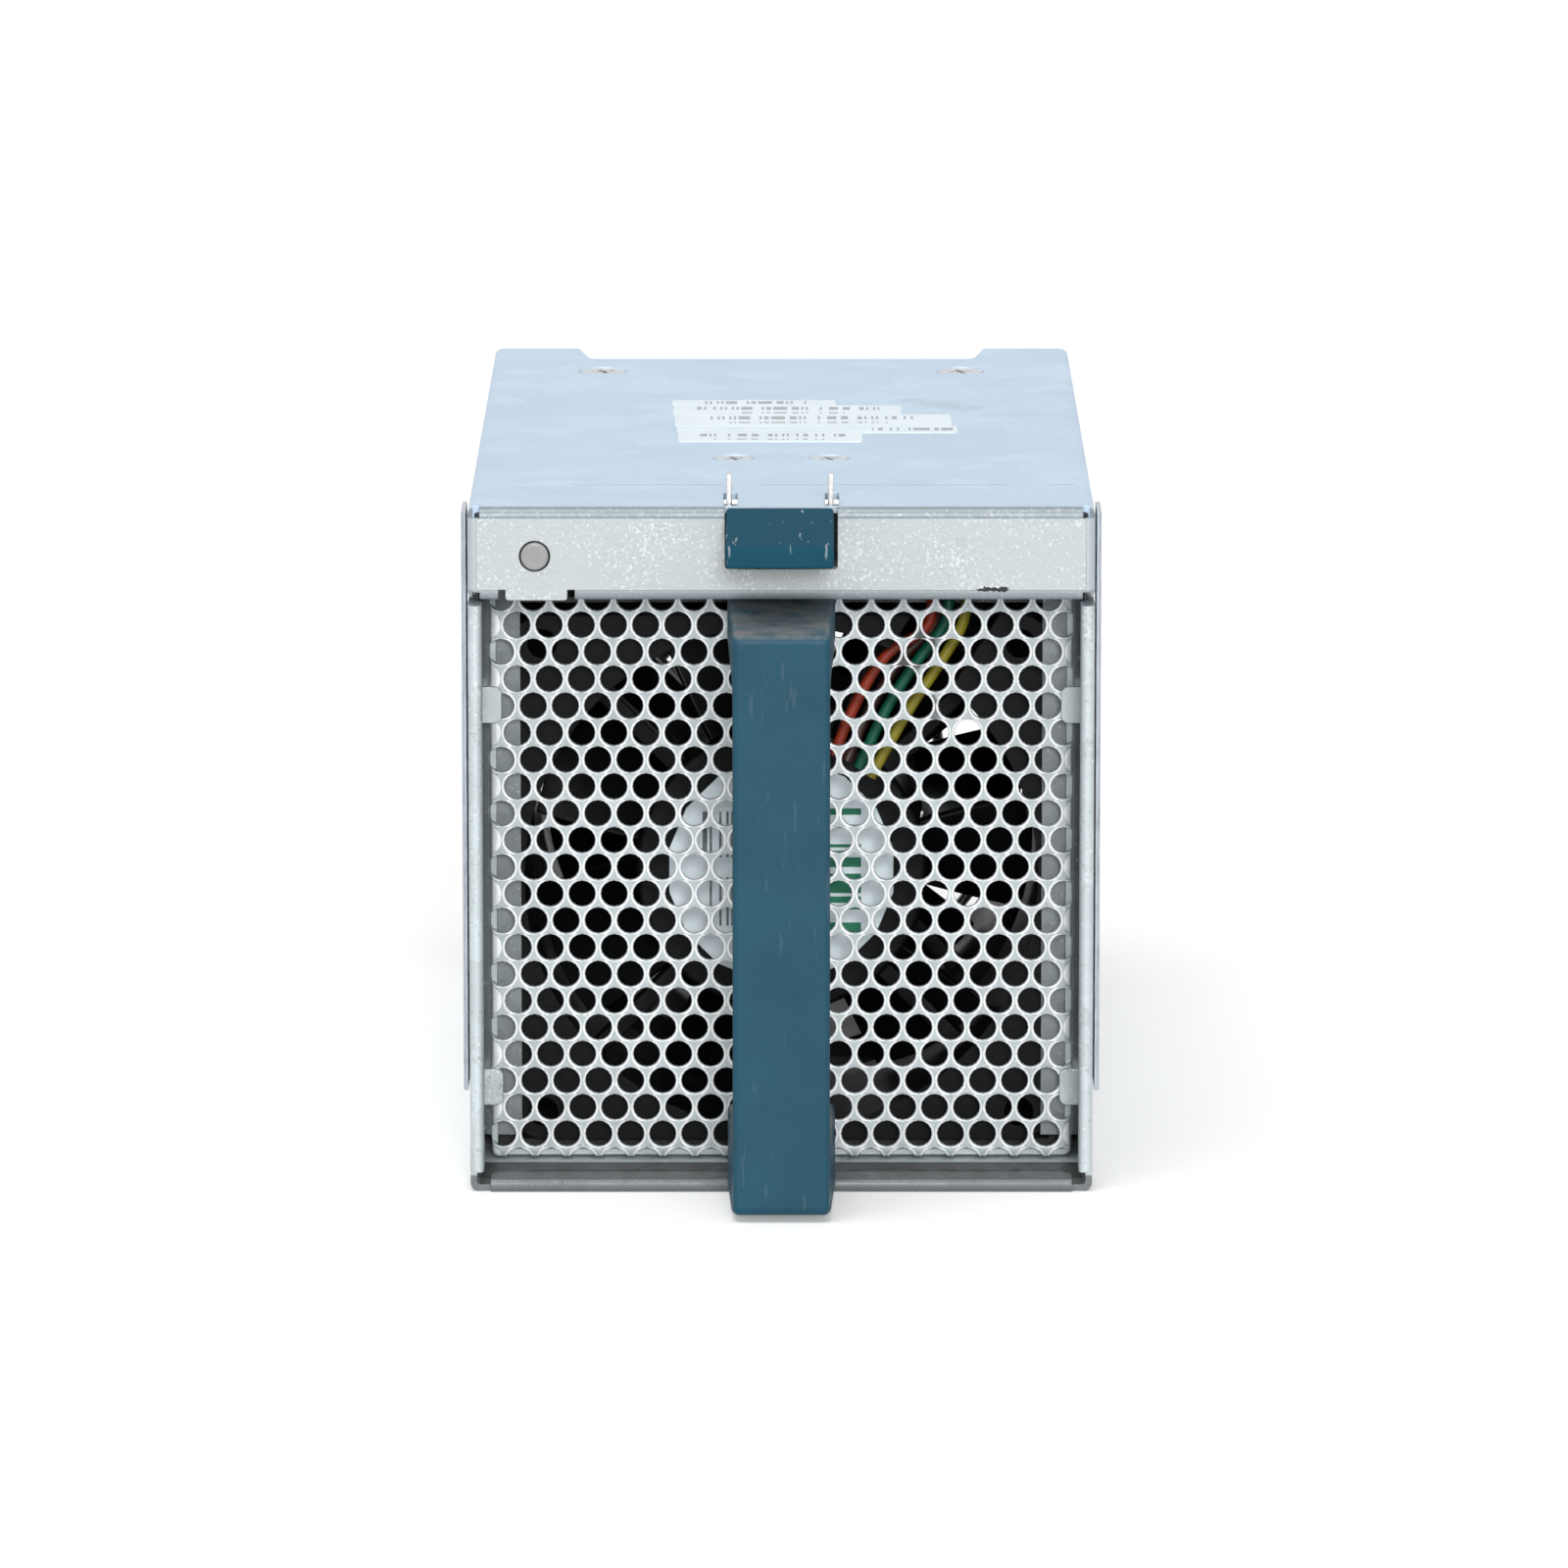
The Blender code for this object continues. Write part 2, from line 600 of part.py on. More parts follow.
def build_tray():
    """Folded floor and side walls, with hemmed front edges and lanced clips for the grille."""
    inside = (0, 0, BODY_HEIGHT / 2)
    profile = [(-HALF_WIDTH, WALL_TOP), (-HALF_WIDTH, 0), (HALF_WIDTH, 0), (HALF_WIDTH, WALL_TOP)]
    front = at(HEM_THICKNESS / 2)
    tray = fold("housing_tray", profile, "Y", front, at(BODY_DEPTH), SHEET, ZINC, BEND_RADIUS, inside)
    rail_high = BEZEL_LOW - RAIL_TOP_GAP
    for side in (-1, 1):
        outer = side * HALF_WIDTH
        inner = side * (HALF_WIDTH - HEM_THICKNESS)
        rail = prism(
            "rail",
            rounded(
                [
                    (outer, at(0), RAIL_ROUND),
                    (outer, at(RAIL_DEPTH), 0),
                    (inner, at(RAIL_DEPTH), 0),
                    (inner, at(0), RAIL_ROUND),
                ],
                0,
            ),
            "Z",
            HEM_CORNER,
            rail_high,
        )
        span = sorted((side * (HALF_WIDTH + MM), inner - side * MM))
        notch = block(
            "rail_notch",
            (span[0], at(-MM), rail_high),
            (span[1], at(BEZEL_RETURN + CLEARANCE), WALL_TOP + MM),
        )
        join(tray, rail)
        cut(tray, notch)
        for height in CLIP_HEIGHTS:
            low = height - CLIP_TALL / 2
            high = height + CLIP_TALL / 2
            back = at(GRILLE_SETBACK - CLEARANCE)
            tip = side * (WALL_INSIDE - CLIP_REACH)
            root = side * (WALL_INSIDE + SHEET / 2)
            clip = prism(
                "clip",
                rounded([(root, low, 0), (tip, low), (tip, high), (root, high, 0)], CLIP_ROUND, 2),
                "Y",
                back - SHEET,
                back,
            )
            across = sorted((side * (HALF_WIDTH + MM), side * (WALL_INSIDE - MM)))
            window = block(
                "clip_window",
                (across[0], back + CLEARANCE, low),
                (across[1], back + CLIP_WINDOW, high),
            )
            join(tray, clip)
            cut(tray, window)
    half = HALF_WIDTH - HEM_CORNER
    hem = prism(
        "floor_hem",
        rounded(
            [
                (-half, at(0)),
                (-half, at(FLOOR_HEM_SIDE)),
                (-half + HEM_SWEEP, at(FLOOR_HEM_DEPTH)),
                (half - HEM_SWEEP, at(FLOOR_HEM_DEPTH)),
                (half, at(FLOOR_HEM_SIDE)),
                (half, at(0)),
            ],
            0,
        ),
        "Z",
        0,
        HEM_THICKNESS,
    )
    soften(hem, HEM_ROUND, 1, 80)
    join(tray, hem)
    return tray


def build_cover():
    """Top plate, bezel, bezel returns and side flanges folded from one sheet."""
    shape = bmesh.new()
    size = (BODY_WIDTH, BODY_DEPTH, BEZEL_HEIGHT)
    middle = BODY_HEIGHT - BEZEL_HEIGHT / 2
    place = Matrix.Translation((0, 0, middle)) @ Matrix.Diagonal((*size, 1.0))
    bmesh.ops.create_cube(shape, size=1.0, matrix=place)
    back = [face for face in shape.faces if face.normal.y > 0.5]
    bmesh.ops.delete(shape, geom=back, context="FACES")
    cover = finish_mesh("top_cover", shape, BEZEL_STEEL)
    bend(cover, BEND_RADIUS)
    thicken(cover, SHEET)
    wide = HALF_WIDTH + MM
    beyond = at(BODY_DEPTH + MM)
    cut(cover, block("underside", (-wide, at(BEZEL_RETURN), BEZEL_LOW - MM), (wide, beyond, FLANGE_LOW)))
    for side in (-1, 1):
        inner = side * (HALF_WIDTH - RELIEF_INSET - RELIEF_WIDTH)
        corner = sorted((side * (HALF_WIDTH - RELIEF_INSET), inner))
        strip = sorted((side * wide, inner))
        relief_back = at(RELIEF_BACK)
        cut(
            cover,
            block(
                "top_relief",
                (corner[0], at(-MM), BODY_HEIGHT - RELIEF_HEIGHT),
                (corner[1], relief_back, BODY_HEIGHT + MM),
            ),
            block(
                "low_relief",
                (corner[0], at(-MM), BEZEL_LOW - MM),
                (corner[1], relief_back + MM, BEZEL_LOW + LOW_RELIEF_HEIGHT),
            ),
            block(
                "return_relief",
                (strip[0], relief_back, BEZEL_LOW - MM),
                (strip[1], at(BEZEL_RETURN + MM), FLANGE_LOW),
            ),
        )
    cut(
        cover,
        block(
            "tab_relief",
            (TAB_LEFT - TAB_RELIEF, at(-MM), BEZEL_LOW - MM),
            (TAB_RIGHT + TAB_RELIEF, at(BEZEL_RETURN + MM), BEZEL_LOW + RELIEF_HEIGHT),
        ),
    )
    tab_high = BEZEL_LOW + RELIEF_HEIGHT + SHEET
    join(cover, block("tab", (TAB_LEFT, at(0), BEZEL_LOW), (TAB_RIGHT, at(SHEET), tab_high)))
    notch = [
        (-REAR_NOTCH_BOTTOM / 2, at(BODY_DEPTH - REAR_NOTCH_DEPTH)),
        (REAR_NOTCH_BOTTOM / 2, at(BODY_DEPTH - REAR_NOTCH_DEPTH)),
        (REAR_NOTCH_MOUTH / 2, at(BODY_DEPTH + MM), 0),
        (-REAR_NOTCH_MOUTH / 2, at(BODY_DEPTH + MM), 0),
    ]
    cut(cover, prism("rear_notch", rounded(notch, REAR_NOTCH_ROUND), "Z", FLANGE_LOW, BODY_HEIGHT + MM))
    half = LATCH_OPENING_WIDTH / 2
    opening_back = at(LATCH_OPENING_BACK)
    above = BODY_HEIGHT + MM
    cut(cover, block("latch_opening", (-half, at(-MM), LATCH_OPENING_LOW), (half, opening_back, above)))
    for side in (-1, 1):
        middle = side * LEAF_WIDTH / 2
        cut(
            cover,
            block(
                "barb_slot",
                (middle - BARB_SLOT_WIDTH / 2, at(BARB_SLOT_START), COVER_UNDERSIDE - MM),
                (middle + BARB_SLOT_WIDTH / 2, at(BARB_SLOT_END), above),
            ),
        )
        latch_x = side * LATCH_SCREW_SPACING / 2
        cover_x = side * COVER_SCREW_SPACING / 2
        cut(cover, *countersink("latch_seat", latch_x, LATCH_SCREW_SETBACK, LATCH_HEAD_RADIUS))
        cut(cover, *countersink("cover_seat", cover_x, COVER_SCREW_SETBACK, COVER_HEAD_RADIUS))
    cut(cover, rod("lens_hole", (LENS_X, at(-MM), LENS_Z), (0, 1, 0), LENS_RADIUS + CLEARANCE, 4 * MM))
    return cover


def hole_place(row, column):
    """Across and up of one punched hole. Every second row is shifted by half a pitch."""
    shift = HOLE_PITCH_X / 4 * (1 if row % 2 else -1)
    return (column - (HOLE_COLUMNS - 1) / 2) * HOLE_PITCH_X + shift, HOLE_LOWEST_Z + row * HOLE_PITCH_Z


def build_grille():
    """Shallow pan of perforated sheet. The punched pattern runs on through the bends."""
    shape = bmesh.new()
    low = SHEET + CLEARANCE
    size = (GRILLE_WIDTH, GRILLE_PAN, GRILLE_TOP - low)
    centre = (0, at(GRILLE_SETBACK + GRILLE_PAN / 2), (GRILLE_TOP + low) / 2)
    place = Matrix.Translation(centre) @ Matrix.Diagonal((*size, 1.0))
    bmesh.ops.create_cube(shape, size=1.0, matrix=place)
    back = [face for face in shape.faces if face.normal.y > 0.5]
    bmesh.ops.delete(shape, geom=back, context="FACES")
    grille = finish_mesh("front_grille", shape, ZINC)
    bend(grille, GRILLE_BEND, 1)
    thicken(grille, GRILLE_SHEET)
    punches = bmesh.new()
    area_factor = math.sqrt(2 * math.pi / (HOLE_SIDES * math.sin(2 * math.pi / HOLE_SIDES)))
    radius = HOLE_DIAMETER / 2 * area_factor
    turn = Matrix.Rotation(math.pi / 2, 4, "X") @ Matrix.Rotation(math.pi / HOLE_SIDES, 4, "Z")
    lead = MM
    y = at(GRILLE_SETBACK + (HOLE_REACH - lead) / 2)
    for row in range(HOLE_ROWS):
        for column in range(HOLE_COLUMNS):
            x, z = hole_place(row, column)
            bmesh.ops.create_cone(
                punches,
                cap_ends=True,
                segments=HOLE_SIDES,
                radius1=radius,
                radius2=radius,
                depth=HOLE_REACH + lead,
                matrix=Matrix.Translation((x, y, z)) @ turn,
            )
    cut(grille, finish_mesh("punches", punches))
    return grille


def build_brackets():
    """Channels on the side walls whose lips hold the two fans."""
    for word, setback in (("front", FRONT_FAN_SETBACK), ("rear", REAR_FAN_SETBACK)):
        start = setback - CLEARANCE - BRACKET_SHEET
        end = setback + FAN_DEPTH + CLEARANCE + BRACKET_SHEET
        for side, hand in ((-1, "left"), (1, "right")):
            lip = side * (BRACKET_OUTSIDE - BRACKET_LIP)
            web = side * BRACKET_OUTSIDE
            profile = [(lip, at(start)), (web, at(start)), (web, at(end)), (lip, at(end))]
            inside = (0, at((start + end) / 2), FAN_CENTRE_Z)
            name = f"fan_bracket_{word}_{hand}"
            fold(name, profile, "Z", BRACKET_LOW, BRACKET_HIGH, BRACKET_SHEET, ZINC, 0.0, inside)


def build_gaskets():
    """Contact strips on the outside of the walls, bowed so that they press on the next module."""
    for side, hand in ((-1, "left"), (1, "right")):
        near = side * (HALF_WIDTH + CLEARANCE)
        far = side * (HALF_WIDTH + CLEARANCE + GASKET_THICKNESS)
        start = at(GASKET_START)
        end = at(GASKET_START + GASKET_WIDTH)
        outline = [
            (near, start),
            (far, start + GASKET_SLOPE),
            (far, end - GASKET_SLOPE),
            (near, end),
        ]
        prism(f"side_gasket_{hand}", outline, "Z", GASKET_LOW, GASKET_HIGH, STEEL)


def fan_place(setback):
    return Vector((0, at(setback), FAN_CENTRE_Z))


def fan_frame(word, setback):
    """Moulded frame: two square flanges, the barrel, the motor base on its struts, the bearing tube."""
    place = fan_place(setback)
    half = FAN_SIZE / 2
    square = [(-half, -half), (half, -half), (half, half), (-half, half)]
    outline = [(x, z + FAN_CENTRE_Z) for x, z in rounded(square, FAN_CORNER_RADIUS, 2)]
    frame = prism(f"{word}_fan_frame", outline, "Y", place.y, place.y + FAN_FLANGE, BLACK)
    back = place.y + FAN_DEPTH
    barrel_radius = BORE_RADIUS + BARREL_WALL
    overlap = FAN_FLANGE / 2
    join(
        frame,
        prism("rear_flange", outline, "Y", back - FAN_FLANGE, back),
        rod(
            "barrel",
            place + Vector((0, overlap, 0)),
            (0, 1, 0),
            barrel_radius,
            FAN_DEPTH - 2 * overlap,
            sides=BARREL_SIDES,
        ),
    )
    through = FAN_DEPTH + 2 * MM
    cut(frame, rod("bore", place - Vector((0, MM, 0)), (0, 1, 0), BORE_RADIUS, through, sides=BARREL_SIDES))
    for x in (-1, 1):
        for z in (-1, 1):
            corner = place + Vector((x * FAN_HOLE_SPACING / 2, -MM, z * FAN_HOLE_SPACING / 2))
            cut(frame, rod("frame_hole", corner, (0, 1, 0), FAN_HOLE_RADIUS, through, sides=6))
    slot = block(
        "lead_slot",
        (BORE_RADIUS - MM, -MM, -LEAD_SLOT_WIDTH / 2),
        (BORE_RADIUS + FAN_SIZE / 2, LEAD_SLOT_DEPTH, LEAD_SLOT_WIDTH / 2),
    )
    slot.location = place
    slot.rotation_euler = (0, -math.radians(LEAD_SLOT_ANGLE), 0)
    cut(frame, slot)
    start = MOTOR_BASE_SETBACK
    seat = start + MOTOR_BASE_THICKNESS
    profile = [
        (0, start),
        (MOTOR_BASE_RADIUS - MOTOR_BASE_ROUND, start),
        (MOTOR_BASE_RADIUS, start + MOTOR_BASE_ROUND),
        (MOTOR_BASE_RADIUS, seat),
        (TUBE_RADIUS, seat),
        (TUBE_RADIUS, TUBE_END),
        (TUBE_INSIDE, TUBE_END),
        (TUBE_INSIDE, seat),
        (0, seat),
    ]
    join(frame, turned("motor_base", profile[::-1], place, steps=HUB_SIDES, ring=False))
    for index in range(STRUT_COUNT):
        angle = math.pi / 4 + index * 2 * math.pi / STRUT_COUNT
        inner = MOTOR_BASE_RADIUS - 1.5 * MM
        outer = BORE_RADIUS + BARREL_WALL * 0.6
        strut = block(
            "strut",
            (inner, start + MOTOR_BASE_ROUND, -STRUT_WIDTH / 2),
            (outer, start + MOTOR_BASE_ROUND + STRUT_DEPTH, STRUT_WIDTH / 2),
        )
        strut.location = place
        strut.rotation_euler = (0, -angle, 0)
        join(frame, strut)
    return frame


def fan_blade(shape, turn):
    """One twisted blade: a loft of thin cambered sections from the hub to the tip."""
    radii = [
        HUB_RADIUS - HUB_WALL / 2,
        (HUB_RADIUS + BORE_RADIUS) / 2,
        BORE_RADIUS - BLADE_TIP_GAP,
    ]
    first, last = radii[0], radii[-1]
    middle = (HUB_START + HUB_END) / 2
    upper = [(station, 1) for station in BLADE_STATIONS]
    lower = [(station, -1) for station in BLADE_STATIONS[-2:0:-1]]
    rows = []
    for radius in radii:
        share = (radius - first) / (last - first)
        angle = math.radians(BLADE_ROOT_ANGLE + (BLADE_TIP_ANGLE - BLADE_ROOT_ANGLE) * share)
        chord = BLADE_LENGTH / math.sin(math.radians(BLADE_ROOT_ANGLE))
        points = []
        for station, side in upper + lower:
            along = (station - 0.5) * chord
            swell = math.sin(math.pi * station)
            across = BLADE_CAMBER * chord * swell + side * BLADE_THICKNESS / 2 * swell
            axial = along * math.sin(angle) - across * math.cos(angle)
            around = along * math.cos(angle) + across * math.sin(angle)
            points.append((radius, around / radius, middle + axial))
        rows.append(points)
    loops = []
    for points in rows:
        loops.append(
            [
                shape.verts.new(
                    (radius * math.cos(angle + turn), height, -radius * math.sin(angle + turn))
                )
                for radius, angle, height in points
            ]
        )
    size = len(loops[0])
    for inner, outer in zip(loops, loops[1:]):
        for index in range(size):
            following = (index + 1) % size
            shape.faces.new((inner[index], inner[following], outer[following], outer[index]))
    shape.faces.new(loops[0][::-1])
    shape.faces.new(loops[-1])


def fan_impeller(word, setback):
    """Hub cup and twisted blades, turning on the fan's axis."""
    place = fan_place(setback)
    boss = SHAFT_RADIUS + CLEARANCE
    inner = HUB_RADIUS - HUB_WALL
    cap = HUB_END - HUB_CAP
    profile = [
        (inner, HUB_START),
        (inner, cap),
        (boss, cap),
        (boss, HUB_END),
        (HUB_RADIUS - HUB_ROUND, HUB_END),
        (HUB_RADIUS, HUB_END - HUB_ROUND),
        (HUB_RADIUS, HUB_START),
    ]
    impeller = turned(f"{word}_impeller", profile[::-1], place, BLACK, steps=HUB_SIDES)
    for index in range(BLADE_COUNT):
        shape = bmesh.new()
        fan_blade(shape, index * 2 * math.pi / BLADE_COUNT)
        bmesh.ops.triangulate(shape, faces=shape.faces)
        bmesh.ops.recalc_face_normals(shape, faces=shape.faces)
        blade = finish_mesh("blade", shape)
        blade.location = place
        join(impeller, blade)
    return impeller


def ring_profile(inner, outer, start, end):
    return [(outer, end), (outer, start), (inner, start), (inner, end)]


def fan_motor(word, setback):
    """Shaft, bearings, rotor yoke and magnet, stator core, windings and board."""
    place = fan_place(setback)
    seat = MOTOR_BASE_SETBACK + MOTOR_BASE_THICKNESS
    near = seat + CLEARANCE
    far = TUBE_END - BEARING_WIDTH
    shaft = [(0, HUB_END), (SHAFT_RADIUS, HUB_END), (SHAFT_RADIUS, near), (0, near)]
    turned(f"{word}_shaft", shaft, place, STEEL, steps=8, ring=False)
    for label, start in (("near", near), ("far", far)):
        bearing = ring_profile(BEARING_INNER, BEARING_OUTER, start, start + BEARING_WIDTH)
        turned(f"{word}_bearing_{label}", bearing, place, STEEL, steps=10)
    yoke_end = HUB_END - HUB_CAP - CLEARANCE
    inner = YOKE_RADIUS - YOKE_WALL
    boss = SHAFT_RADIUS + CLEARANCE
    start = HUB_START + MM
    yoke = [
        (YOKE_RADIUS, yoke_end),
        (YOKE_RADIUS, start),
        (inner, start),
        (inner, yoke_end - YOKE_WALL),
        (boss, yoke_end - YOKE_WALL),
        (boss, yoke_end),
    ]
    turned(f"{word}_rotor_yoke", yoke, place, STEEL, steps=ROTOR_SIDES)
    magnet = ring_profile(MAGNET_RADIUS - MAGNET_WALL, MAGNET_RADIUS, start, start + MAGNET_LENGTH)
    turned(f"{word}_rotor_magnet", magnet, place, FERRITE, steps=ROTOR_SIDES)
    board_start = seat + MOTOR_BOARD_RISE
    board = ring_profile(
        TUBE_RADIUS + CLEARANCE, MOTOR_BOARD_RADIUS, board_start, board_start + MOTOR_BOARD_THICKNESS
    )
    turned(f"{word}_motor_board", board, place, BOARD, steps=ROTOR_SIDES)
    fan_stator(word, setback)


def fan_stator(word, setback):
    """Laminated core with T-shaped poles, and a coil round each neck."""
    place = fan_place(setback)
    hub = TUBE_RADIUS + CLEARANCE + STATOR_RING
    shoe_start = STATOR_RADIUS - POLE_SHOE
    neck = POLE_NECK / 2
    root = POLE_ROOT / 2
    shoe = math.radians(360 / POLE_COUNT * POLE_SPREAD)
    outline = []
    for index in range(POLE_COUNT):
        turn = index * 2 * math.pi / POLE_COUNT
        pole = [
            (math.hypot(hub, root), -math.atan2(root, hub)),
            (math.hypot(shoe_start, neck), -math.atan2(neck, shoe_start)),
            (shoe_start, -shoe),
            (STATOR_RADIUS, -shoe),
            (STATOR_RADIUS, 0),
            (STATOR_RADIUS, shoe),
            (shoe_start, shoe),
            (math.hypot(shoe_start, neck), math.atan2(neck, shoe_start)),
            (math.hypot(hub, root), math.atan2(root, hub)),
        ]
        for radius, angle in pole:
            outline.append(
                (radius * math.cos(angle + turn), radius * math.sin(angle + turn) + FAN_CENTRE_Z)
            )
    start = place.y + STATOR_START
    end = start + STATOR_LENGTH
    core = prism(f"{word}_stator_core", outline, "Y", start, end, FERRITE)
    bore = TUBE_RADIUS + CLEARANCE
    through = STATOR_LENGTH + 2 * MM
    cut(core, rod("core_bore", (0, start - MM, FAN_CENTRE_Z), (0, 1, 0), bore, through, sides=12))
    coil_in = hub + MM
    coil_out = shoe_start - COIL_WALL
    inner_half = root + CLEARANCE
    front = STATOR_START - CLEARANCE - COIL_WALL
    bobbin = ring_profile(TUBE_RADIUS + CLEARANCE, coil_in + MM, front + CLEARANCE, front + COIL_WALL)
    windings = turned(f"{word}_windings", bobbin, place, COPPER, steps=12)
    for index in range(POLE_COUNT):
        coil = block(
            "coil",
            (coil_in, front, -inner_half - COIL_WALL),
            (coil_out, STATOR_START + STATOR_LENGTH + COIL_WALL + CLEARANCE, inner_half + COIL_WALL),
        )
        window = block(
            "coil_window",
            (coil_in - MM, STATOR_START - CLEARANCE, -inner_half),
            (coil_out + MM, STATOR_START + STATOR_LENGTH + CLEARANCE, inner_half),
        )
        for piece in (coil, window):
            piece.location = place
            piece.rotation_euler = (0, index * 2 * math.pi / POLE_COUNT, 0)
        cut(coil, window)
        join(windings, coil)


def fan_boot(word, setback):
    """Rubber boot that seats a fan on the floor and between its brackets."""
    outer = BRACKET_INSIDE - CLEARANCE
    inner = FAN_SIZE / 2 + CLEARANCE
    floor = SHEET + CLEARANCE
    top = FAN_CENTRE_Z + BOOT_RISE
    seat = FAN_LOW - CLEARANCE
    outline = [
        (-outer, top),
        (-outer, floor),
        (outer, floor),
        (outer, top),
        (inner, top),
        (inner, seat),
        (-inner, seat),
        (-inner, top),
    ]
    start = at(setback + BOOT_INSET)
    prism(f"{word}_fan_boot", outline, "Y", start, at(setback + FAN_DEPTH - BOOT_INSET), RUBBER)


def build_shelf():
    """Plate over both fans that holds them down and carries the status board."""
    edge = BRACKET_INSIDE - CLEARANCE
    end = REAR_FAN_SETBACK + FAN_DEPTH
    profile = [
        (-edge, SHELF_LOW + SHELF_LIP),
        (-edge, SHELF_LOW),
        (edge, SHELF_LOW),
        (edge, SHELF_LOW + SHELF_LIP),
    ]
    inside = (0, 0, BODY_HEIGHT)
    shelf = fold("fan_shelf", profile, "Y", at(SHELF_FRONT), at(end), SHELF_SHEET, ZINC, 0.0, inside)
    half = SHELF_WINDOW_WIDTH / 2
    window = block(
        "lead_window",
        (SLEEVE_X - half, at(SLEEVE_SETBACK - half), SHELF_LOW - MM),
        (SLEEVE_X + half, at(SLEEVE_SETBACK + half), SHELF_TOP + MM),
    )
    cut(shelf, window)
    lips = (FRONT_FAN_SETBACK + FAN_DEPTH + CLEARANCE, REAR_FAN_SETBACK - CLEARANCE - BRACKET_SHEET)
    for side in (-1, 1):
        across = sorted((side * (edge + MM), side * (BRACKET_OUTSIDE - BRACKET_LIP - CLEARANCE)))
        for start in lips:
            notch = block(
                "lip_notch",
                (across[0], at(start - CLEARANCE), SHELF_LOW - MM),
                (across[1], at(start + BRACKET_SHEET + CLEARANCE), SHELF_TOP + SHELF_LIP + MM),
            )
            cut(shelf, notch)
    return shelf


def build_handle():
    """Staple-shaped pull handle, narrower at the bar than at its feet, and its two screws."""
    foot = at(GRILLE_SETBACK - CLEARANCE)
    front = at(-HANDLE_PROUD)
    inner_front = front + HANDLE_BAR
    step = at(-MM)
    low = HEM_THICKNESS + 2 * CLEARANCE
    corners = [
        (foot, HANDLE_HIGH, 0),
        (front, HANDLE_HIGH, HANDLE_CORNER),
        (front, HANDLE_LOW, HANDLE_CORNER),
        (step, HANDLE_LOW, 0),
        (step, low, 0),
        (foot, low, 0),
        (foot, low + HANDLE_ARM, 0),
        (inner_front, low + HANDLE_ARM, HANDLE_INNER_CORNER),
        (inner_front, HANDLE_HIGH - HANDLE_ARM, HANDLE_INNER_CORNER),
        (foot, HANDLE_HIGH - HANDLE_ARM, 0),
    ]
    half = HANDLE_FOOT_WIDTH / 2
    handle = prism("handle", rounded(corners, 0, 3), "X", -half, half, BLUE)
    taper = HANDLE_WIDTH / HANDLE_FOOT_WIDTH
    for vertex in handle.data.vertices:
        share = min(1.0, max(0.0, (vertex.co.y - at(0)) / (front - at(0)) * HANDLE_TAPER_SHARE))
        vertex.co.x *= 1 + (taper - 1) * share
    soften(handle, HANDLE_ROUND, 2, 60)
    head = at(GRILLE_SETBACK + GRILLE_SHEET + CLEARANCE)
    depth = HANDLE_SCREW_LENGTH + CLEARANCE + MM - (head - foot)
    for word, (row, column) in HANDLE_SCREW_HOLES.items():
        x, z = hole_place(row, column)
        bore = HANDLE_SCREW_RADIUS + CLEARANCE
        cut(handle, rod("screw_hole", (x, foot + MM, z), (0, -1, 0), bore, depth, sides=8))
        profile = screw_profile(
            HANDLE_HEAD_RADIUS, HANDLE_HEAD_HEIGHT, HANDLE_SCREW_RADIUS, HANDLE_SCREW_LENGTH
        )
        turned(f"handle_screw_{word}", profile, (x, head, z), STEEL, steps=8, ring=False)


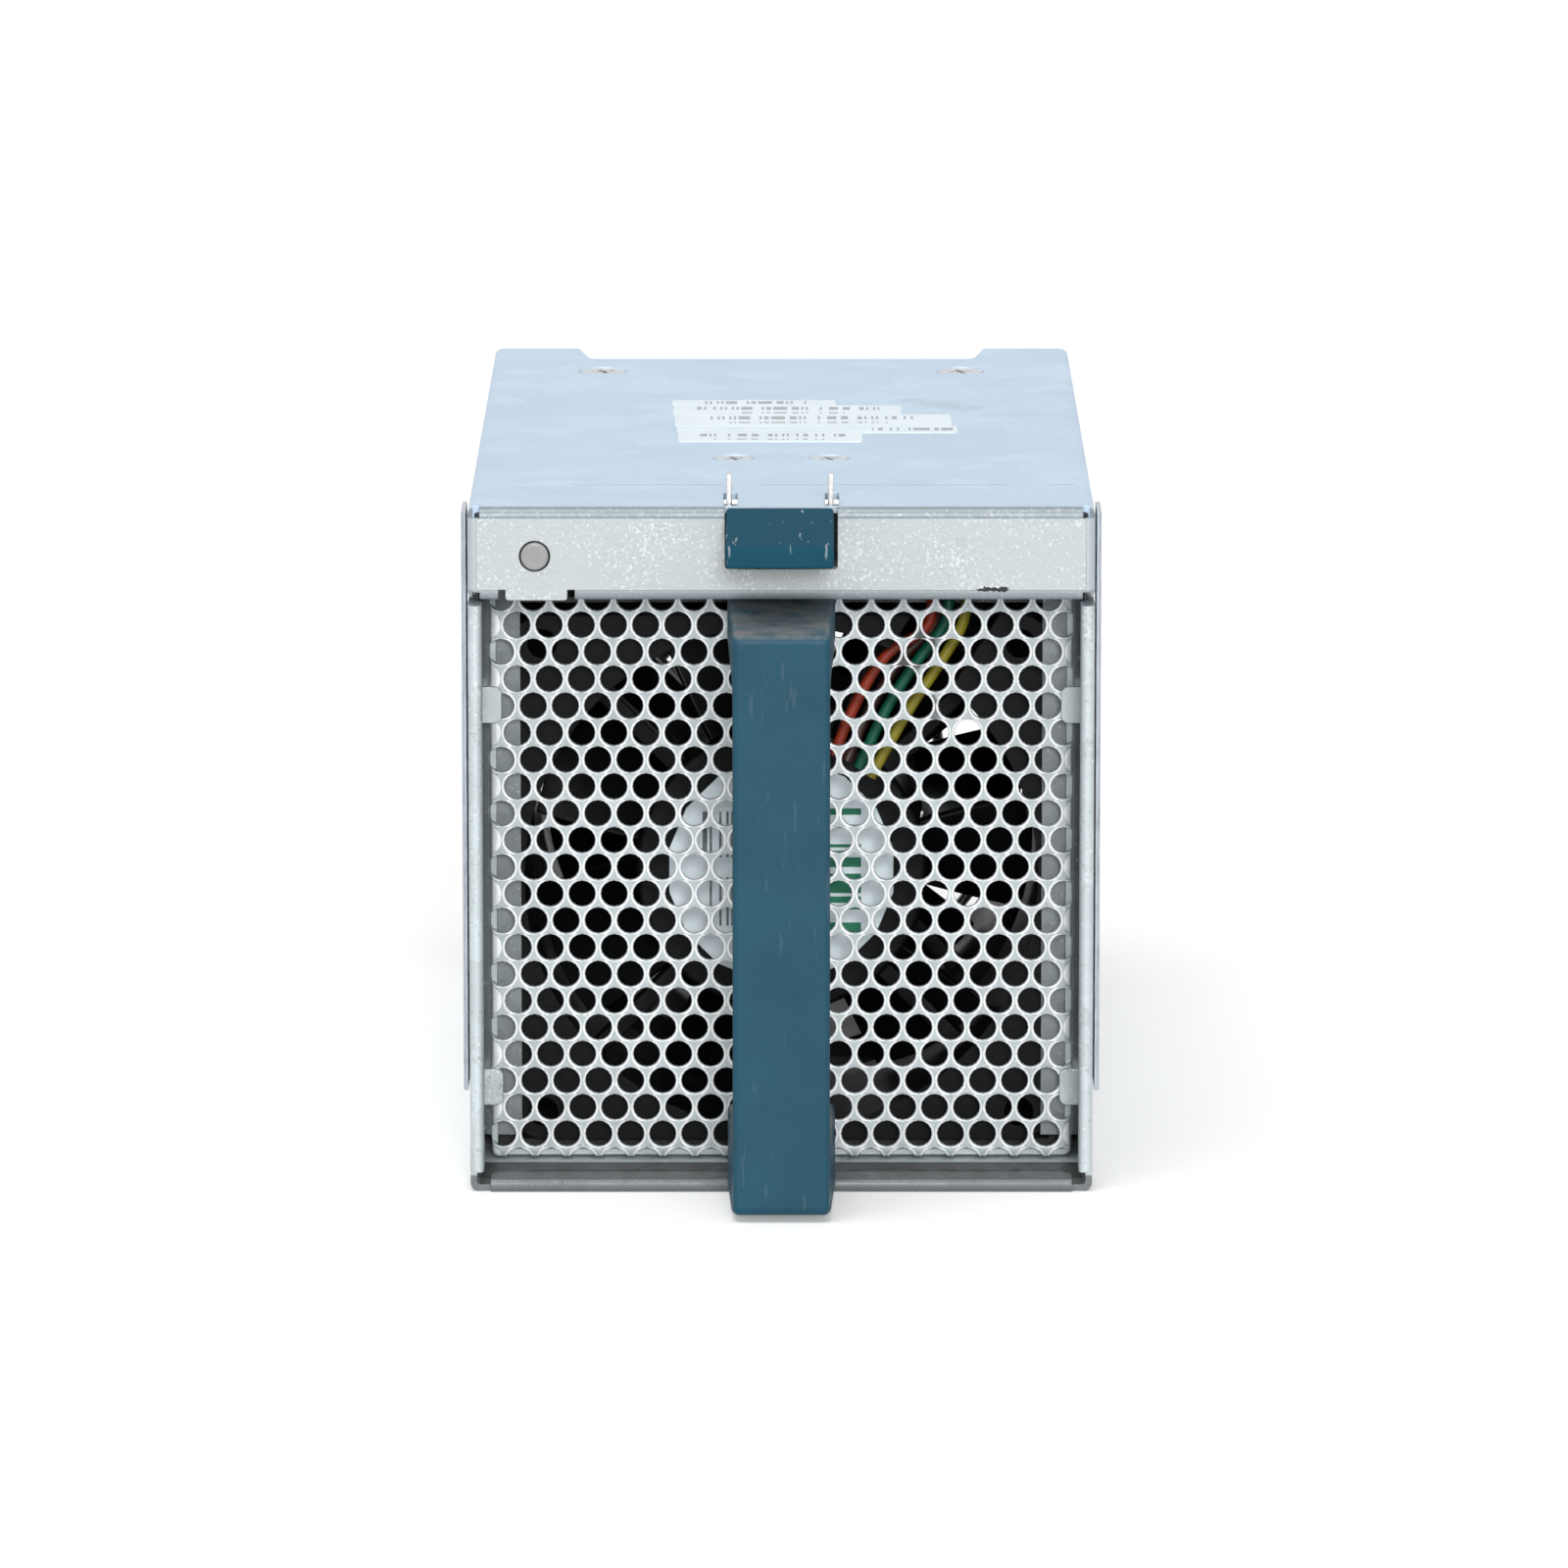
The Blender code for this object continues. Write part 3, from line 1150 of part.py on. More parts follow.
def build_latch():
    """Blue button on a steel leaf whose two barbs stand through the top plate."""
    shift = LATCH_SHIFT
    half = LATCH_WIDTH / 2
    rear_high = BODY_HEIGHT - LATCH_REAR_GAP
    corners = [
        (at(-LATCH_REAR_START), rear_high, 0),
        (at(-LATCH_PROUD), LATCH_LIP_HIGH, LATCH_LIP_ROUNDS[0]),
        (at(-LATCH_PROUD), LATCH_LIP_LOW, LATCH_LIP_ROUNDS[1]),
        (at(-LATCH_REAR_BACK), LATCH_REAR_LOW, 0),
    ]
    button = prism("latch_button", rounded(corners, 0, 2), "X", shift - half, shift + half, BLUE)
    soften(button, LATCH_ROUND, 1, 60)
    tongue = TONGUE_WIDTH / 2
    cut(
        button,
        block(
            "tongue_socket",
            (shift - tongue - CLEARANCE, at(-TONGUE_REACH - CLEARANCE), LEAF_LOW - CLEARANCE),
            (shift + tongue + CLEARANCE, at(MM), LEAF_TOP + CLEARANCE),
        ),
    )
    wide = LEAF_WIDTH / 2
    end = at(LATCH_BASE_FRONT - CLEARANCE)
    neck = at(BARB_START - 2 * LEAF_SHOULDER)
    shoulder = at(BARB_END + LEAF_SHOULDER)
    outline = [
        (shift - tongue, at(-TONGUE_REACH), TONGUE_ROUND),
        (shift + tongue, at(-TONGUE_REACH), TONGUE_ROUND),
        (shift + tongue, neck, 0),
        (shift + wide, neck + LEAF_SHOULDER, 0),
        (shift + wide, shoulder, 0),
        (shift + tongue, shoulder + LEAF_TAPER, 0),
        (shift + tongue, end, 0),
        (shift - tongue, end, 0),
        (shift - tongue, shoulder + LEAF_TAPER, 0),
        (shift - wide, shoulder, 0),
        (shift - wide, neck + LEAF_SHOULDER, 0),
        (shift - tongue, neck, 0),
    ]
    leaf = prism("latch_spring", rounded(outline, 0, 2), "Z", LEAF_LOW, LEAF_TOP, STEEL)
    high = BODY_HEIGHT + BARB_PROUD
    root = LEAF_LOW + BARB_ROOT
    for side in (-1, 1):
        barb = [
            (at(BARB_START), root),
            (at(BARB_START), high),
            (at(BARB_START + BARB_FLAT), high),
            (at(BARB_END), BODY_HEIGHT + BARB_BACK_PROUD),
            (at(BARB_END), root),
        ]
        middle = shift + side * LEAF_WIDTH / 2
        join(leaf, prism("barb", barb, "X", middle - LEAF_THICKNESS / 2, middle + LEAF_THICKNESS / 2))
    base_half = LATCH_BASE_WIDTH / 2
    base = block(
        "latch_base",
        (-base_half, at(LATCH_BASE_FRONT), LEAF_LOW),
        (base_half, at(LATCH_BASE_BACK), COVER_UNDERSIDE - CLEARANCE),
        STEEL,
    )
    for side, hand in ((-1, "left"), (1, "right")):
        x = side * LATCH_SCREW_SPACING / 2
        cut(base, screw_hole("base_hole", x, LATCH_SCREW_SETBACK, LATCH_HEAD_RADIUS))
        countersunk_screw(f"latch_screw_{hand}", x, LATCH_SCREW_SETBACK, LATCH_HEAD_RADIUS, STEEL)


def build_status_light():
    """Light pipe in the bezel, the light source behind it and the board that carries it."""
    place = (LENS_X, at(-LENS_PROUD), LENS_Z)
    rod("status_lens", place, (0, 1, 0), LENS_RADIUS, LENS_LENGTH, LENS, sides=16)
    top = BOARD_LOW + BOARD_THICKNESS
    board = block(
        "status_board", (BOARD_LEFT, at(BOARD_START), BOARD_LOW), (BOARD_RIGHT, at(BOARD_END), top), BOARD
    )
    led_start = at(LENS_LENGTH - LENS_PROUD) + CLEARANCE
    led_low = top + CLEARANCE
    block(
        "status_led",
        (LENS_X - LED_WIDTH / 2, led_start, led_low),
        (LENS_X + LED_WIDTH / 2, led_start + LED_LENGTH, LENS_Z + LENS_RADIUS + LED_ROUND),
        LENS,
        LED_ROUND,
    )
    foot = SHELF_TOP + CLEARANCE
    half = STAND_DEPTH / 2
    left = BOARD_LEFT + STAND_INSET
    right = BOARD_RIGHT - STAND_INSET
    stand = block(
        "board_stand",
        (left - half, at(STAND_SETBACK) - half, foot),
        (right + half, at(STAND_SETBACK) + half, foot + STAND_FOOT),
        BLACK,
    )
    for x in (left, right):
        centre = (x, at(STAND_SETBACK), foot + STAND_FOOT / 2)
        post = rod("post", centre, (0, 0, 1), half * 0.9, BOARD_LOW - CLEARANCE - centre[2], sides=12)
        pin = rod("pin", centre, (0, 0, 1), STAND_PIN, top + MM - centre[2], sides=8)
        join(stand, post, pin)
        hole = (x, at(STAND_SETBACK), top + MM)
        depth = BOARD_THICKNESS + 2 * MM
        cut(board, rod("board_hole", hole, (0, 0, -1), STAND_PIN + CLEARANCE, depth, sides=8))


def build_connector():
    """Blind-mate connector on a bracket under the cover's rear notch."""
    top = COVER_UNDERSIDE - CLEARANCE
    half = PLATE_WIDTH / 2
    profile = [
        (at(PLATE_SETBACK - PLATE_FLANGE), top),
        (at(PLATE_SETBACK), top),
        (at(PLATE_SETBACK), PLATE_LOW),
    ]
    inside = (0, at(PLATE_SETBACK - PLATE_FLANGE), PLATE_LOW)
    plate = fold("connector_bracket", profile, "X", -half, half, SHEET, ZINC, 0.0, inside)
    middle = CONNECTOR_TOP - CONNECTOR_HEIGHT / 2
    width = CONNECTOR_WIDTH / 2
    start = at(PLATE_SETBACK) + CLEARANCE
    end = start + CONNECTOR_LENGTH
    low = CONNECTOR_TOP - CONNECTOR_HEIGHT
    corner = (width, end, CONNECTOR_TOP)
    housing = block("rear_connector", (-width, start, low), corner, BLACK, CONNECTOR_ROUND)
    hook = width - CONNECTOR_WALL
    floor = start + CONNECTOR_FLOOR
    cut(
        housing,
        block(
            "socket",
            (-width + CONNECTOR_WALL, floor, low + CONNECTOR_WALL),
            (width - CONNECTOR_WALL, end + MM, CONNECTOR_TOP - CONNECTOR_WALL),
        ),
    )
    for side in (-1, 1):
        stem = sorted((side * hook, side * (hook - HOOK_WIDTH)))
        barb = sorted((side * (hook + HOOK_PROUD), side * (hook - HOOK_WIDTH)))
        behind = at(PLATE_SETBACK) - SHEET - CLEARANCE
        for name, ends, reach in (("stem", stem, start + MM), ("hook", barb, behind)):
            join(
                housing,
                block(
                    name,
                    (ends[0], behind - HOOK_WIDTH, middle - HOOK_TALL / 2),
                    (ends[1], reach, middle + HOOK_TALL / 2),
                ),
            )
        gap = CLEARANCE
        cut(
            plate,
            block(
                "hook_window",
                (stem[0] - gap - HOOK_PROUD, behind - MM, middle - HOOK_TALL / 2 - gap),
                (stem[1] + gap + HOOK_PROUD, start + MM, middle + HOOK_TALL / 2 + gap),
            ),
        )
    carrier = block(
        "connector_contacts",
        (-width + CONNECTOR_WALL + CLEARANCE, floor + CLEARANCE, middle - CONTACT_TALL / 2 - MM),
        (width - CONNECTOR_WALL - CLEARANCE, floor + CLEARANCE + MM, middle + CONTACT_TALL / 2 + MM),
        BRASS,
    )
    pitch = (CONNECTOR_WIDTH - 4 * CONNECTOR_WALL) / CONTACT_COUNT
    for index in range(CONTACT_COUNT):
        x = (index - (CONTACT_COUNT - 1) / 2) * pitch
        size = CONTACT_THICKNESS / 2
        join(
            carrier,
            block(
                "contact",
                (x - size, floor + CLEARANCE + MM / 2, middle - CONTACT_TALL / 2),
                (x + size, end - CONNECTOR_WALL, middle + CONTACT_TALL / 2),
            ),
        )
    for side, hand in ((-1, "left"), (1, "right")):
        x = side * COVER_SCREW_SPACING / 2
        cut(plate, screw_hole("plate_hole", x, COVER_SCREW_SETBACK, COVER_HEAD_RADIUS))
        countersunk_screw(f"cover_screw_{hand}", x, COVER_SCREW_SETBACK, COVER_HEAD_RADIUS, STEEL)


def build_guard():
    """Wire finger guard over the air inlet, screwed to the rear fan's corners."""
    back = REAR_FAN_SETBACK + FAN_DEPTH + 2 * CLEARANCE + BRACKET_SHEET + GUARD_WIRE
    place = Vector((0, at(back), FAN_CENTRE_Z))
    guard = None
    for radius in GUARD_RINGS:
        profile = [
            (radius + GUARD_WIRE, 0),
            (radius, -GUARD_WIRE),
            (radius - GUARD_WIRE, 0),
            (radius, GUARD_WIRE),
        ]
        if guard is None:
            guard = turned("finger_guard", profile, place, STEEL, steps=GUARD_SIDES)
        else:
            join(guard, turned("ring", profile, place, steps=GUARD_SIDES))
    corner = FAN_HOLE_SPACING / 2 * math.sqrt(2)
    for index in range(4):
        angle = math.pi / 4 + index * math.pi / 2
        spoke = block(
            "spoke",
            (GUARD_RINGS[0] - GUARD_WIRE * 1.7, GUARD_WIRE * 0.3, -GUARD_WIRE * 0.7),
            (corner - SCREW_RADIUS - CLEARANCE * 2, GUARD_WIRE * 1.7, GUARD_WIRE * 0.7),
        )
        spoke.location = place
        spoke.rotation_euler = (0, -angle, 0)
        centre = place + Vector((math.cos(angle), 0, math.sin(angle))) * corner
        centre.y -= GUARD_WIRE
        eye = rod("eye", centre, (0, 1, 0), PAN_HEAD_RADIUS, GUARD_WIRE * 2, sides=10)
        hole = rod("eye_hole", centre, (0, 1, 0), SCREW_RADIUS + CLEARANCE, GUARD_WIRE * 8, sides=8)
        hole.location.y = -GUARD_WIRE * 4
        join(guard, spoke, eye)
        cut(guard, hole)
        seat = centre + Vector((0, GUARD_WIRE * 2.7 + CLEARANCE, 0))
        profile = screw_profile(PAN_HEAD_RADIUS, PAN_HEAD_HEIGHT, SCREW_RADIUS, 2 * SCREW_LENGTH)
        turned(f"guard_screw_{index + 1}", profile, seat, STEEL, steps=8, ring=False)


def lead(name, points, surface, radius=LEAD_RADIUS):
    """One insulated wire laid along a route of (x, setback, z) points."""
    curve = bpy.data.curves.new(name, "CURVE")
    curve.dimensions = "3D"
    curve.bevel_depth = radius
    curve.bevel_resolution = 1
    curve.use_fill_caps = True
    spline = curve.splines.new("POLY")
    spline.points.add(len(points) - 1)
    for target, (x, setback, z) in zip(spline.points, points):
        target.co = (x, at(setback), z, 1)
    made = bpy.data.objects.new(name, curve)
    made.data.materials.append(surface)
    PARTS.objects.link(made)
    return made


def front_lead_route(course, behind, row):
    """From the motor base across the frame's slot, as the course says, then up and back over the shelf."""
    face = FRONT_FAN_SETBACK + MOTOR_BASE_SETBACK - CLEARANCE - LEAD_RADIUS
    shares = (0, 0.5, 1, 1)
    points = [(x * MM, face + behind * share, z * MM) for (x, z), share in zip(course, shares)]
    x = points[-1][0] + LEAD_LEAN
    high = SHELF_TOP + CLEARANCE + LEAD_RADIUS + row * LEAD_PITCH
    return points + [
        (x, face + behind, SHELF_TOP),
        (x, face + behind + 2 * LEAD_RADIUS, high),
        (x, SHELF_FRONT + LEAD_STRAIGHT, high),
        (x - LEAD_SHIFT, REAR_FAN_SETBACK - LEAD_STRAIGHT, high),
        (x - LEAD_SHIFT, REAR_FAN_SETBACK + FAN_DEPTH, high),
        (x - 2 * LEAD_SHIFT, LEAD_END - LEAD_TAIL, high + LEAD_CLIMB),
        (x - 2 * LEAD_SHIFT, LEAD_END, high + LEAD_CLIMB),
    ]


def sleeve_route():
    """From the rear fan's motor base, up through the shelf's window and back to the connector."""
    face = SLEEVE_SETBACK - 2 * LEAD_RADIUS
    high = SHELF_TOP + CLEARANCE + SLEEVE_RADIUS
    angle = math.radians(LEAD_SLOT_ANGLE)
    radii = (MOTOR_BASE_RADIUS - 2 * SLEEVE_RADIUS, BORE_RADIUS)
    points = [(radius * math.cos(angle), face, FAN_CENTRE_Z + radius * math.sin(angle)) for radius in radii]
    return points + [
        (SLEEVE_X - LEAD_LEAN, face, SHELF_LOW - CLEARANCE),
        (SLEEVE_X, SLEEVE_SETBACK, high - LEAD_RADIUS),
        (SLEEVE_X, SLEEVE_SETBACK + SLEEVE_RADIUS, high),
        (SLEEVE_X, REAR_FAN_SETBACK + FAN_DEPTH, high),
        (SLEEVE_END_X, LEAD_END - LEAD_TAIL, high + SLEEVE_RADIUS),
        (SLEEVE_END_X, LEAD_END, high + SLEEVE_RADIUS),
    ]


def build_leads():
    """The front fan's four leads and the sleeve round the rear fan's, all led to the connector."""
    surfaces = {"red": RED, "brown": BROWN, "green": GREEN, "yellow": YELLOW}
    for word, (course, behind, row) in FRONT_LEADS.items():
        lead(f"front_lead_{word}", front_lead_route(course, behind, row), surfaces[word])
    lead("rear_lead_sleeve", sleeve_route(), RUBBER, SLEEVE_RADIUS)


def main():
    build_tray()
    build_cover()
    build_grille()
    build_brackets()
    build_gaskets()
    for word, setback in (("front", FRONT_FAN_SETBACK), ("rear", REAR_FAN_SETBACK)):
        fan_frame(word, setback)
        fan_impeller(word, setback)
        fan_motor(word, setback)
        fan_boot(word, setback)
    build_shelf()
    build_handle()
    build_latch()
    build_status_light()
    build_connector()
    build_guard()
    build_leads()


main()
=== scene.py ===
"""Looks of a hot-swap server fan module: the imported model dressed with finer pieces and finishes.
Laid out as an add-on and run as a script. Places are written in millimetres as (across, setback, up),
where the setback is counted from the front plane of the sheet steel body."""

import math

import bpy
from mathutils import Matrix, Vector


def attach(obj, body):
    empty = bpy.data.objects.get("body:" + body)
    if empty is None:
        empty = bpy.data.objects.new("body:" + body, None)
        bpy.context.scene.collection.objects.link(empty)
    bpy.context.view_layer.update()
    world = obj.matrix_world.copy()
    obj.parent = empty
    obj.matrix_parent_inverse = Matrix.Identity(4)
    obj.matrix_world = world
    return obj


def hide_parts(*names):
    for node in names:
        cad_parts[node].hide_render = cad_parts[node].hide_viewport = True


bl_info = {
    "name": "Server Fan Module",
    "version": (1, 0, 0),
    "blender": (4, 5, 0),
    "location": "3D View > Sidebar > Fan Module",
    "description": "Dresses the packed fan module with detailed pieces, finishes and a stage",
    "category": "Object",
}

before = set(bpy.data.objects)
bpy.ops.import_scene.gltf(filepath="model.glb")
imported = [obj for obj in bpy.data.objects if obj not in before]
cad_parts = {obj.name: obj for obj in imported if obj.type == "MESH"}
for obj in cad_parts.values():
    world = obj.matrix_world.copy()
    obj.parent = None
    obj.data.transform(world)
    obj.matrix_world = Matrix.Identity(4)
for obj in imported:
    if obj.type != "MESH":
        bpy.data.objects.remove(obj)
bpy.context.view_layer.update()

# Lengths in millimetres, angles in degrees
MM = 0.001
BODY_DEPTH = 163.0
HALF_WIDTH = 46.2
BODY_HEIGHT = 103.0
FAN_CENTRE_Z = 43.0
FRONT_FAN = 23.2
REAR_FAN = 84.0
SHEET = 1.0
WALL_TOP = 90.6
RAIL_TOP = 88.3
BEZEL_LOW = 89.2
CLIP_HEIGHTS = (12.4, 70.6)
CLIP_HALF = 2.75
STRIP_INNER, STRIP_OUTER = 46.5, 47.2
GRILLE_FRONT = 18.0
HOLE_COLUMNS, HOLE_ROWS = 18, 22
HOLE_MIDDLE = (HOLE_COLUMNS - 1) / 2
HOLE_PITCH = 4.8
HOLE_SHIFT = 1.2
FIELD_ASIDE = 0.2
ROW_PITCH = 4.08
FIRST_ROW = 0.9
PANEL_LOW, PANEL_HIGH = 90.8, 101.4
PANEL_EDGE = 44.8
SCREW_SEATS = (("latch", 7.2, 48.3, 2.9), ("cover", 28.4, 138.5, 3.6))
LENS_ACROSS, LENS_UP = -36.3, 95.8
HANDLE_PROUD = 21.0
LEAF_LOW, LEAF_TOP = 99.6, 100.35
FAN_HOLE = 35.75
FAN_DEPTH = 38
BORE_RADIUS = 38.5
STRUT_COUNT = 4
BLADE_COUNT = 7
BLADE_ROOT_ANGLE, BLADE_TIP_ANGLE = 58, 33
BLADE_LENGTH = 20.0
SHELF_TOP = 84.1
LEAD_FACE = 28.85
LEAD_END = 148.7
SIDES = ((-1, "left"), (1, "right"))
FINISHES = {}


# Sizes and colours a user would change


def length_property(name, description, default):
    return bpy.props.FloatProperty(name=name, description=description, default=default, unit="LENGTH")


class ModuleSizes(bpy.types.PropertyGroup):
    """Sizes of the visible details, in metres"""

    hole_diameter: length_property("Hole Diameter", "Diameter of the round holes in the front grille", 0.004)
    hole_rim: length_property("Hole Rim", "Width of the rolled rim round each hole", 0.0002)
    bend_radius: length_property("Bend Radius", "Outside radius of the folds in the sheet steel", 0.0013)
    handle_round: length_property("Handle Rounding", "Rounding of the long edges of the pull handle", 0.0011)
    lead_radius: length_property("Lead Radius", "Radius of the insulated leads of the front fan", 0.00085)
    blade_thickness: length_property("Blade Thickness", "Thickness of the impeller blades", 0.0012)


def colour_property(name, description, default):
    return bpy.props.FloatVectorProperty(
        name=name, description=description, default=default, subtype="COLOR", size=3, min=0.0, max=1.0
    )


class ModuleColours(bpy.types.PropertyGroup):
    """Main colours of the module, as linear values"""

    cover_steel: colour_property("Cover Steel", "Zinc coat of the top cover", (0.5, 0.635, 0.775))
    bezel_steel: colour_property("Bezel Steel", "Zinc coat of the folded front bezel", (0.43, 0.462, 0.47))
    tray_steel: colour_property("Tray Steel", "Zinc coat of the tray and its rails", (0.52, 0.58, 0.6))
    grille_steel: colour_property("Grille Steel", "Zinc coat of the perforated front", (0.455, 0.51, 0.525))
    blue_plastic: colour_property("Blue Plastic", "Handle and latch button", (0.011, 0.065, 0.103))
    black_plastic: colour_property("Black Plastic", "Fan frames and impellers", (0.004, 0.0045, 0.005))
    lead_red: colour_property("Red Lead", "First lead of the front fan", (0.3, 0.03, 0.01))
    lead_brown: colour_property("Brown Lead", "Second lead of the front fan", (0.045, 0.017, 0.013))
    lead_green: colour_property("Green Lead", "Third lead of the front fan", (0.0, 0.105, 0.06))
    lead_yellow: colour_property("Yellow Lead", "Fourth lead of the front fan", (0.3, 0.26, 0.02))


# Places, selection and modelling steps


def place(across, setback, up):
    """Point of the module in metres from its place in millimetres."""
    return Vector((across, setback - BODY_DEPTH / 2, up)) * MM


def depth(setback):
    """Depth in metres of a setback in millimetres."""
    return place(0, setback, 0).y


def pick(item):
    """Make one object the only selected one and the active one."""
    bpy.ops.object.select_all(action="DESELECT")
    item.select_set(True)
    bpy.context.view_layer.objects.active = item


def block(name, low, high):
    """Box between two corners."""
    near, far = place(*low), place(*high)
    bpy.ops.object.select_all(action="DESELECT")
    bpy.ops.mesh.primitive_cube_add(size=1, location=(near + far) / 2)
    made = bpy.context.object
    made.name = name
    made.scale = far - near
    bpy.ops.object.transform_apply(location=True, rotation=True, scale=True)
    return made


def rod(name, start, axis, radius, length, sides=32, far_radius=None):
    """Cylinder or cone from a start point along an axis."""
    direction = Vector(axis).normalized()
    bpy.ops.object.select_all(action="DESELECT")
    bpy.ops.mesh.primitive_cone_add(
        vertices=sides,
        radius1=radius * MM,
        radius2=(radius if far_radius is None else far_radius) * MM,
        depth=length * MM,
        location=place(*start) + direction * length * MM / 2,
        rotation=Vector((0, 0, 1)).rotation_difference(direction).to_euler(),
    )
    made = bpy.context.object
    made.name = name
    bpy.ops.object.transform_apply(location=True, rotation=True, scale=True)
    return made


def select_edges(item, wanted):
    """Go into edit mode with the edges selected whose two ends meet the test."""
    pick(item)
    bpy.context.tool_settings.mesh_select_mode = (False, True, False)
    bpy.ops.object.mode_set(mode="EDIT")
    bpy.ops.mesh.select_all(action="DESELECT")
    bpy.ops.object.mode_set(mode="OBJECT")
    points = item.data.vertices
    for edge in item.data.edges:
        first, second = (points[index].co for index in edge.vertices)
        edge.select = wanted(first, second)
    bpy.ops.object.mode_set(mode="EDIT")


def round_edges(item, width, segments, wanted):
    """Bevel the edges whose two ends meet the test."""
    select_edges(item, wanted)
    bpy.ops.mesh.bevel(offset=width * MM, segments=segments, affect="EDGES")
    bpy.ops.object.mode_set(mode="OBJECT")
    return item


def apply_modifier(item, kind, **settings):
    """Add a modifier, set it and apply it."""
    pick(item)
    step = item.modifiers.new(kind.title(), kind)
    for key, value in settings.items():
        setattr(step, key, value)
    bpy.ops.object.modifier_apply(modifier=step.name)
    return item


def soften(item, width, segments=3, angle=40):
    """Round every edge that is sharper than an angle."""
    return apply_modifier(
        item,
        "BEVEL",
        width=width * MM,
        segments=segments,
        limit_method="ANGLE",
        angle_limit=math.radians(angle),
    )


def combine(item, operation, tools):
    for tool in tools:
        apply_modifier(item, "BOOLEAN", operation=operation, solver="EXACT", object=tool)
        bpy.data.objects.remove(tool)
    return item


def carve(item, *tools):
    """Cut the tools out of a piece."""
    return combine(item, "DIFFERENCE", tools)


def weld(item, *tools):
    """Make a piece and the tools one body."""
    return combine(item, "UNION", tools)


def gather(items, name):
    """Join several shells into one object."""
    pick(items[0])
    for item in items:
        item.select_set(True)
    bpy.ops.object.join()
    items[0].name = name
    return items[0]


def twin(item, move=(0, 0, 0), name=None):
    """Copy of a piece with its own mesh, moved by millimetres."""
    copy = item.copy()
    copy.data = item.data.copy()
    copy.name = name or item.name
    bpy.context.collection.objects.link(copy)
    copy.location = Vector(move) * MM
    pick(copy)
    bpy.ops.object.transform_apply(location=True, rotation=True, scale=True)
    return copy


def turn_about(item, centre, axis, angle):
    """Turn a piece in degrees about an axis through a place."""
    middle = Matrix.Translation(place(*centre))
    item.matrix_world = middle @ Matrix.Rotation(math.radians(angle), 4, axis) @ middle.inverted()
    pick(item)
    bpy.ops.object.transform_apply(location=True, rotation=True, scale=True)
    return item


def tube(name, points, radius, resolution=4):
    """Round wire along a smooth curve through points in metres."""
    curve = bpy.data.curves.new(name, "CURVE")
    curve.dimensions = "3D"
    curve.bevel_depth = radius
    curve.bevel_resolution = resolution
    curve.resolution_u = 6
    curve.use_fill_caps = True
    spline = curve.splines.new("BEZIER")
    spline.bezier_points.add(len(points) - 1)
    for knot, point in zip(spline.bezier_points, points):
        knot.co = point
        knot.handle_left_type = "AUTO"
        knot.handle_right_type = "AUTO"
    made = bpy.data.objects.new(name, curve)
    bpy.context.collection.objects.link(made)
    pick(made)
    bpy.ops.object.convert(target="MESH")
    return bpy.context.object


def settle(item, body, surface, slot, *nodes, angle=35, even=True):
    """Last step of a piece: shading, finish, the body it rides on and the CAD nodes it stands for."""
    pick(item)
    bpy.ops.object.transform_apply(location=True, rotation=True, scale=True)
    bpy.ops.object.shade_smooth_by_angle(angle=math.radians(angle))
    if even:
        apply_modifier(item, "WEIGHTED_NORMAL", keep_sharp=True)
    item.data.materials.clear()
    item.data.materials.append(FINISHES[surface])
    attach(item, body)
    if nodes:
        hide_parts(*nodes)
    return item


# Shader building


def feed(tree, socket, value):
    """Link a socket's source, or set its plain value."""
    if isinstance(value, bpy.types.NodeSocket):
        tree.links.new(value, socket)
    elif isinstance(value, (tuple, list)) and len(value) == 3 and socket.type == "RGBA":
        socket.default_value = (*value, 1.0)
    else:
        socket.default_value = value


def shader_node(tree, kind, inputs=None, **settings):
    made = tree.nodes.new(kind)
    for key, value in settings.items():
        setattr(made, key, value)
    for key, value in (inputs or {}).items():
        feed(tree, made.inputs[key], value)
    return made


def mixed(tree, share, first, second):
    """Colour between two colours."""
    inputs = {0: share, 6: first, 7: second}
    return shader_node(tree, "ShaderNodeMix", inputs, data_type="RGBA").outputs[2]


def worked(tree, operation, first, second=0.0, clamp=False):
    """Result of a Math node."""
    inputs = {0: first, 1: second}
    return shader_node(tree, "ShaderNodeMath", inputs, operation=operation, use_clamp=clamp).outputs[0]


def vector_step(tree, operation, first, second):
    """Node that works on two vectors."""
    return shader_node(tree, "ShaderNodeVectorMath", {0: first, 1: second}, operation=operation)


def times(tree, product, *factors, clamp=False):
    for factor in factors:
        product = worked(tree, "MULTIPLY", product, factor, clamp)
    return product


def plus(tree, first, second, clamp=False):
    return worked(tree, "ADD", first, second, clamp)


def minus(tree, first, second):
    return worked(tree, "SUBTRACT", first, second)


def painted(tree, mask, share, tone, colour):
    """Tone with a colour laid over it where a mask says, up to a share."""
    return mixed(tree, times(tree, mask, share), tone, colour)


def axes(tree, vector):
    """Coordinates of a vector: across, back and up."""
    return tuple(shader_node(tree, "ShaderNodeSeparateXYZ", {0: vector}).outputs)


def laid_tone(shader):
    """Colour that a finish has given its shader so far."""
    return shader.inputs["Base Color"].links[0].from_socket


def ranged(tree, value, low, high, to_low=0.0, to_high=1.0):
    """Value mapped from one range to another, held at both ends."""
    inputs = {"Value": value, "From Min": low, "From Max": high, "To Min": to_low, "To Max": to_high}
    return shader_node(tree, "ShaderNodeMapRange", inputs).outputs["Result"]


def noise(tree, vector, scale, detail=3.0, roughness=0.55):
    inputs = {"Vector": vector, "Scale": scale, "Detail": detail, "Roughness": roughness}
    return shader_node(tree, "ShaderNodeTexNoise", inputs).outputs["Fac"]


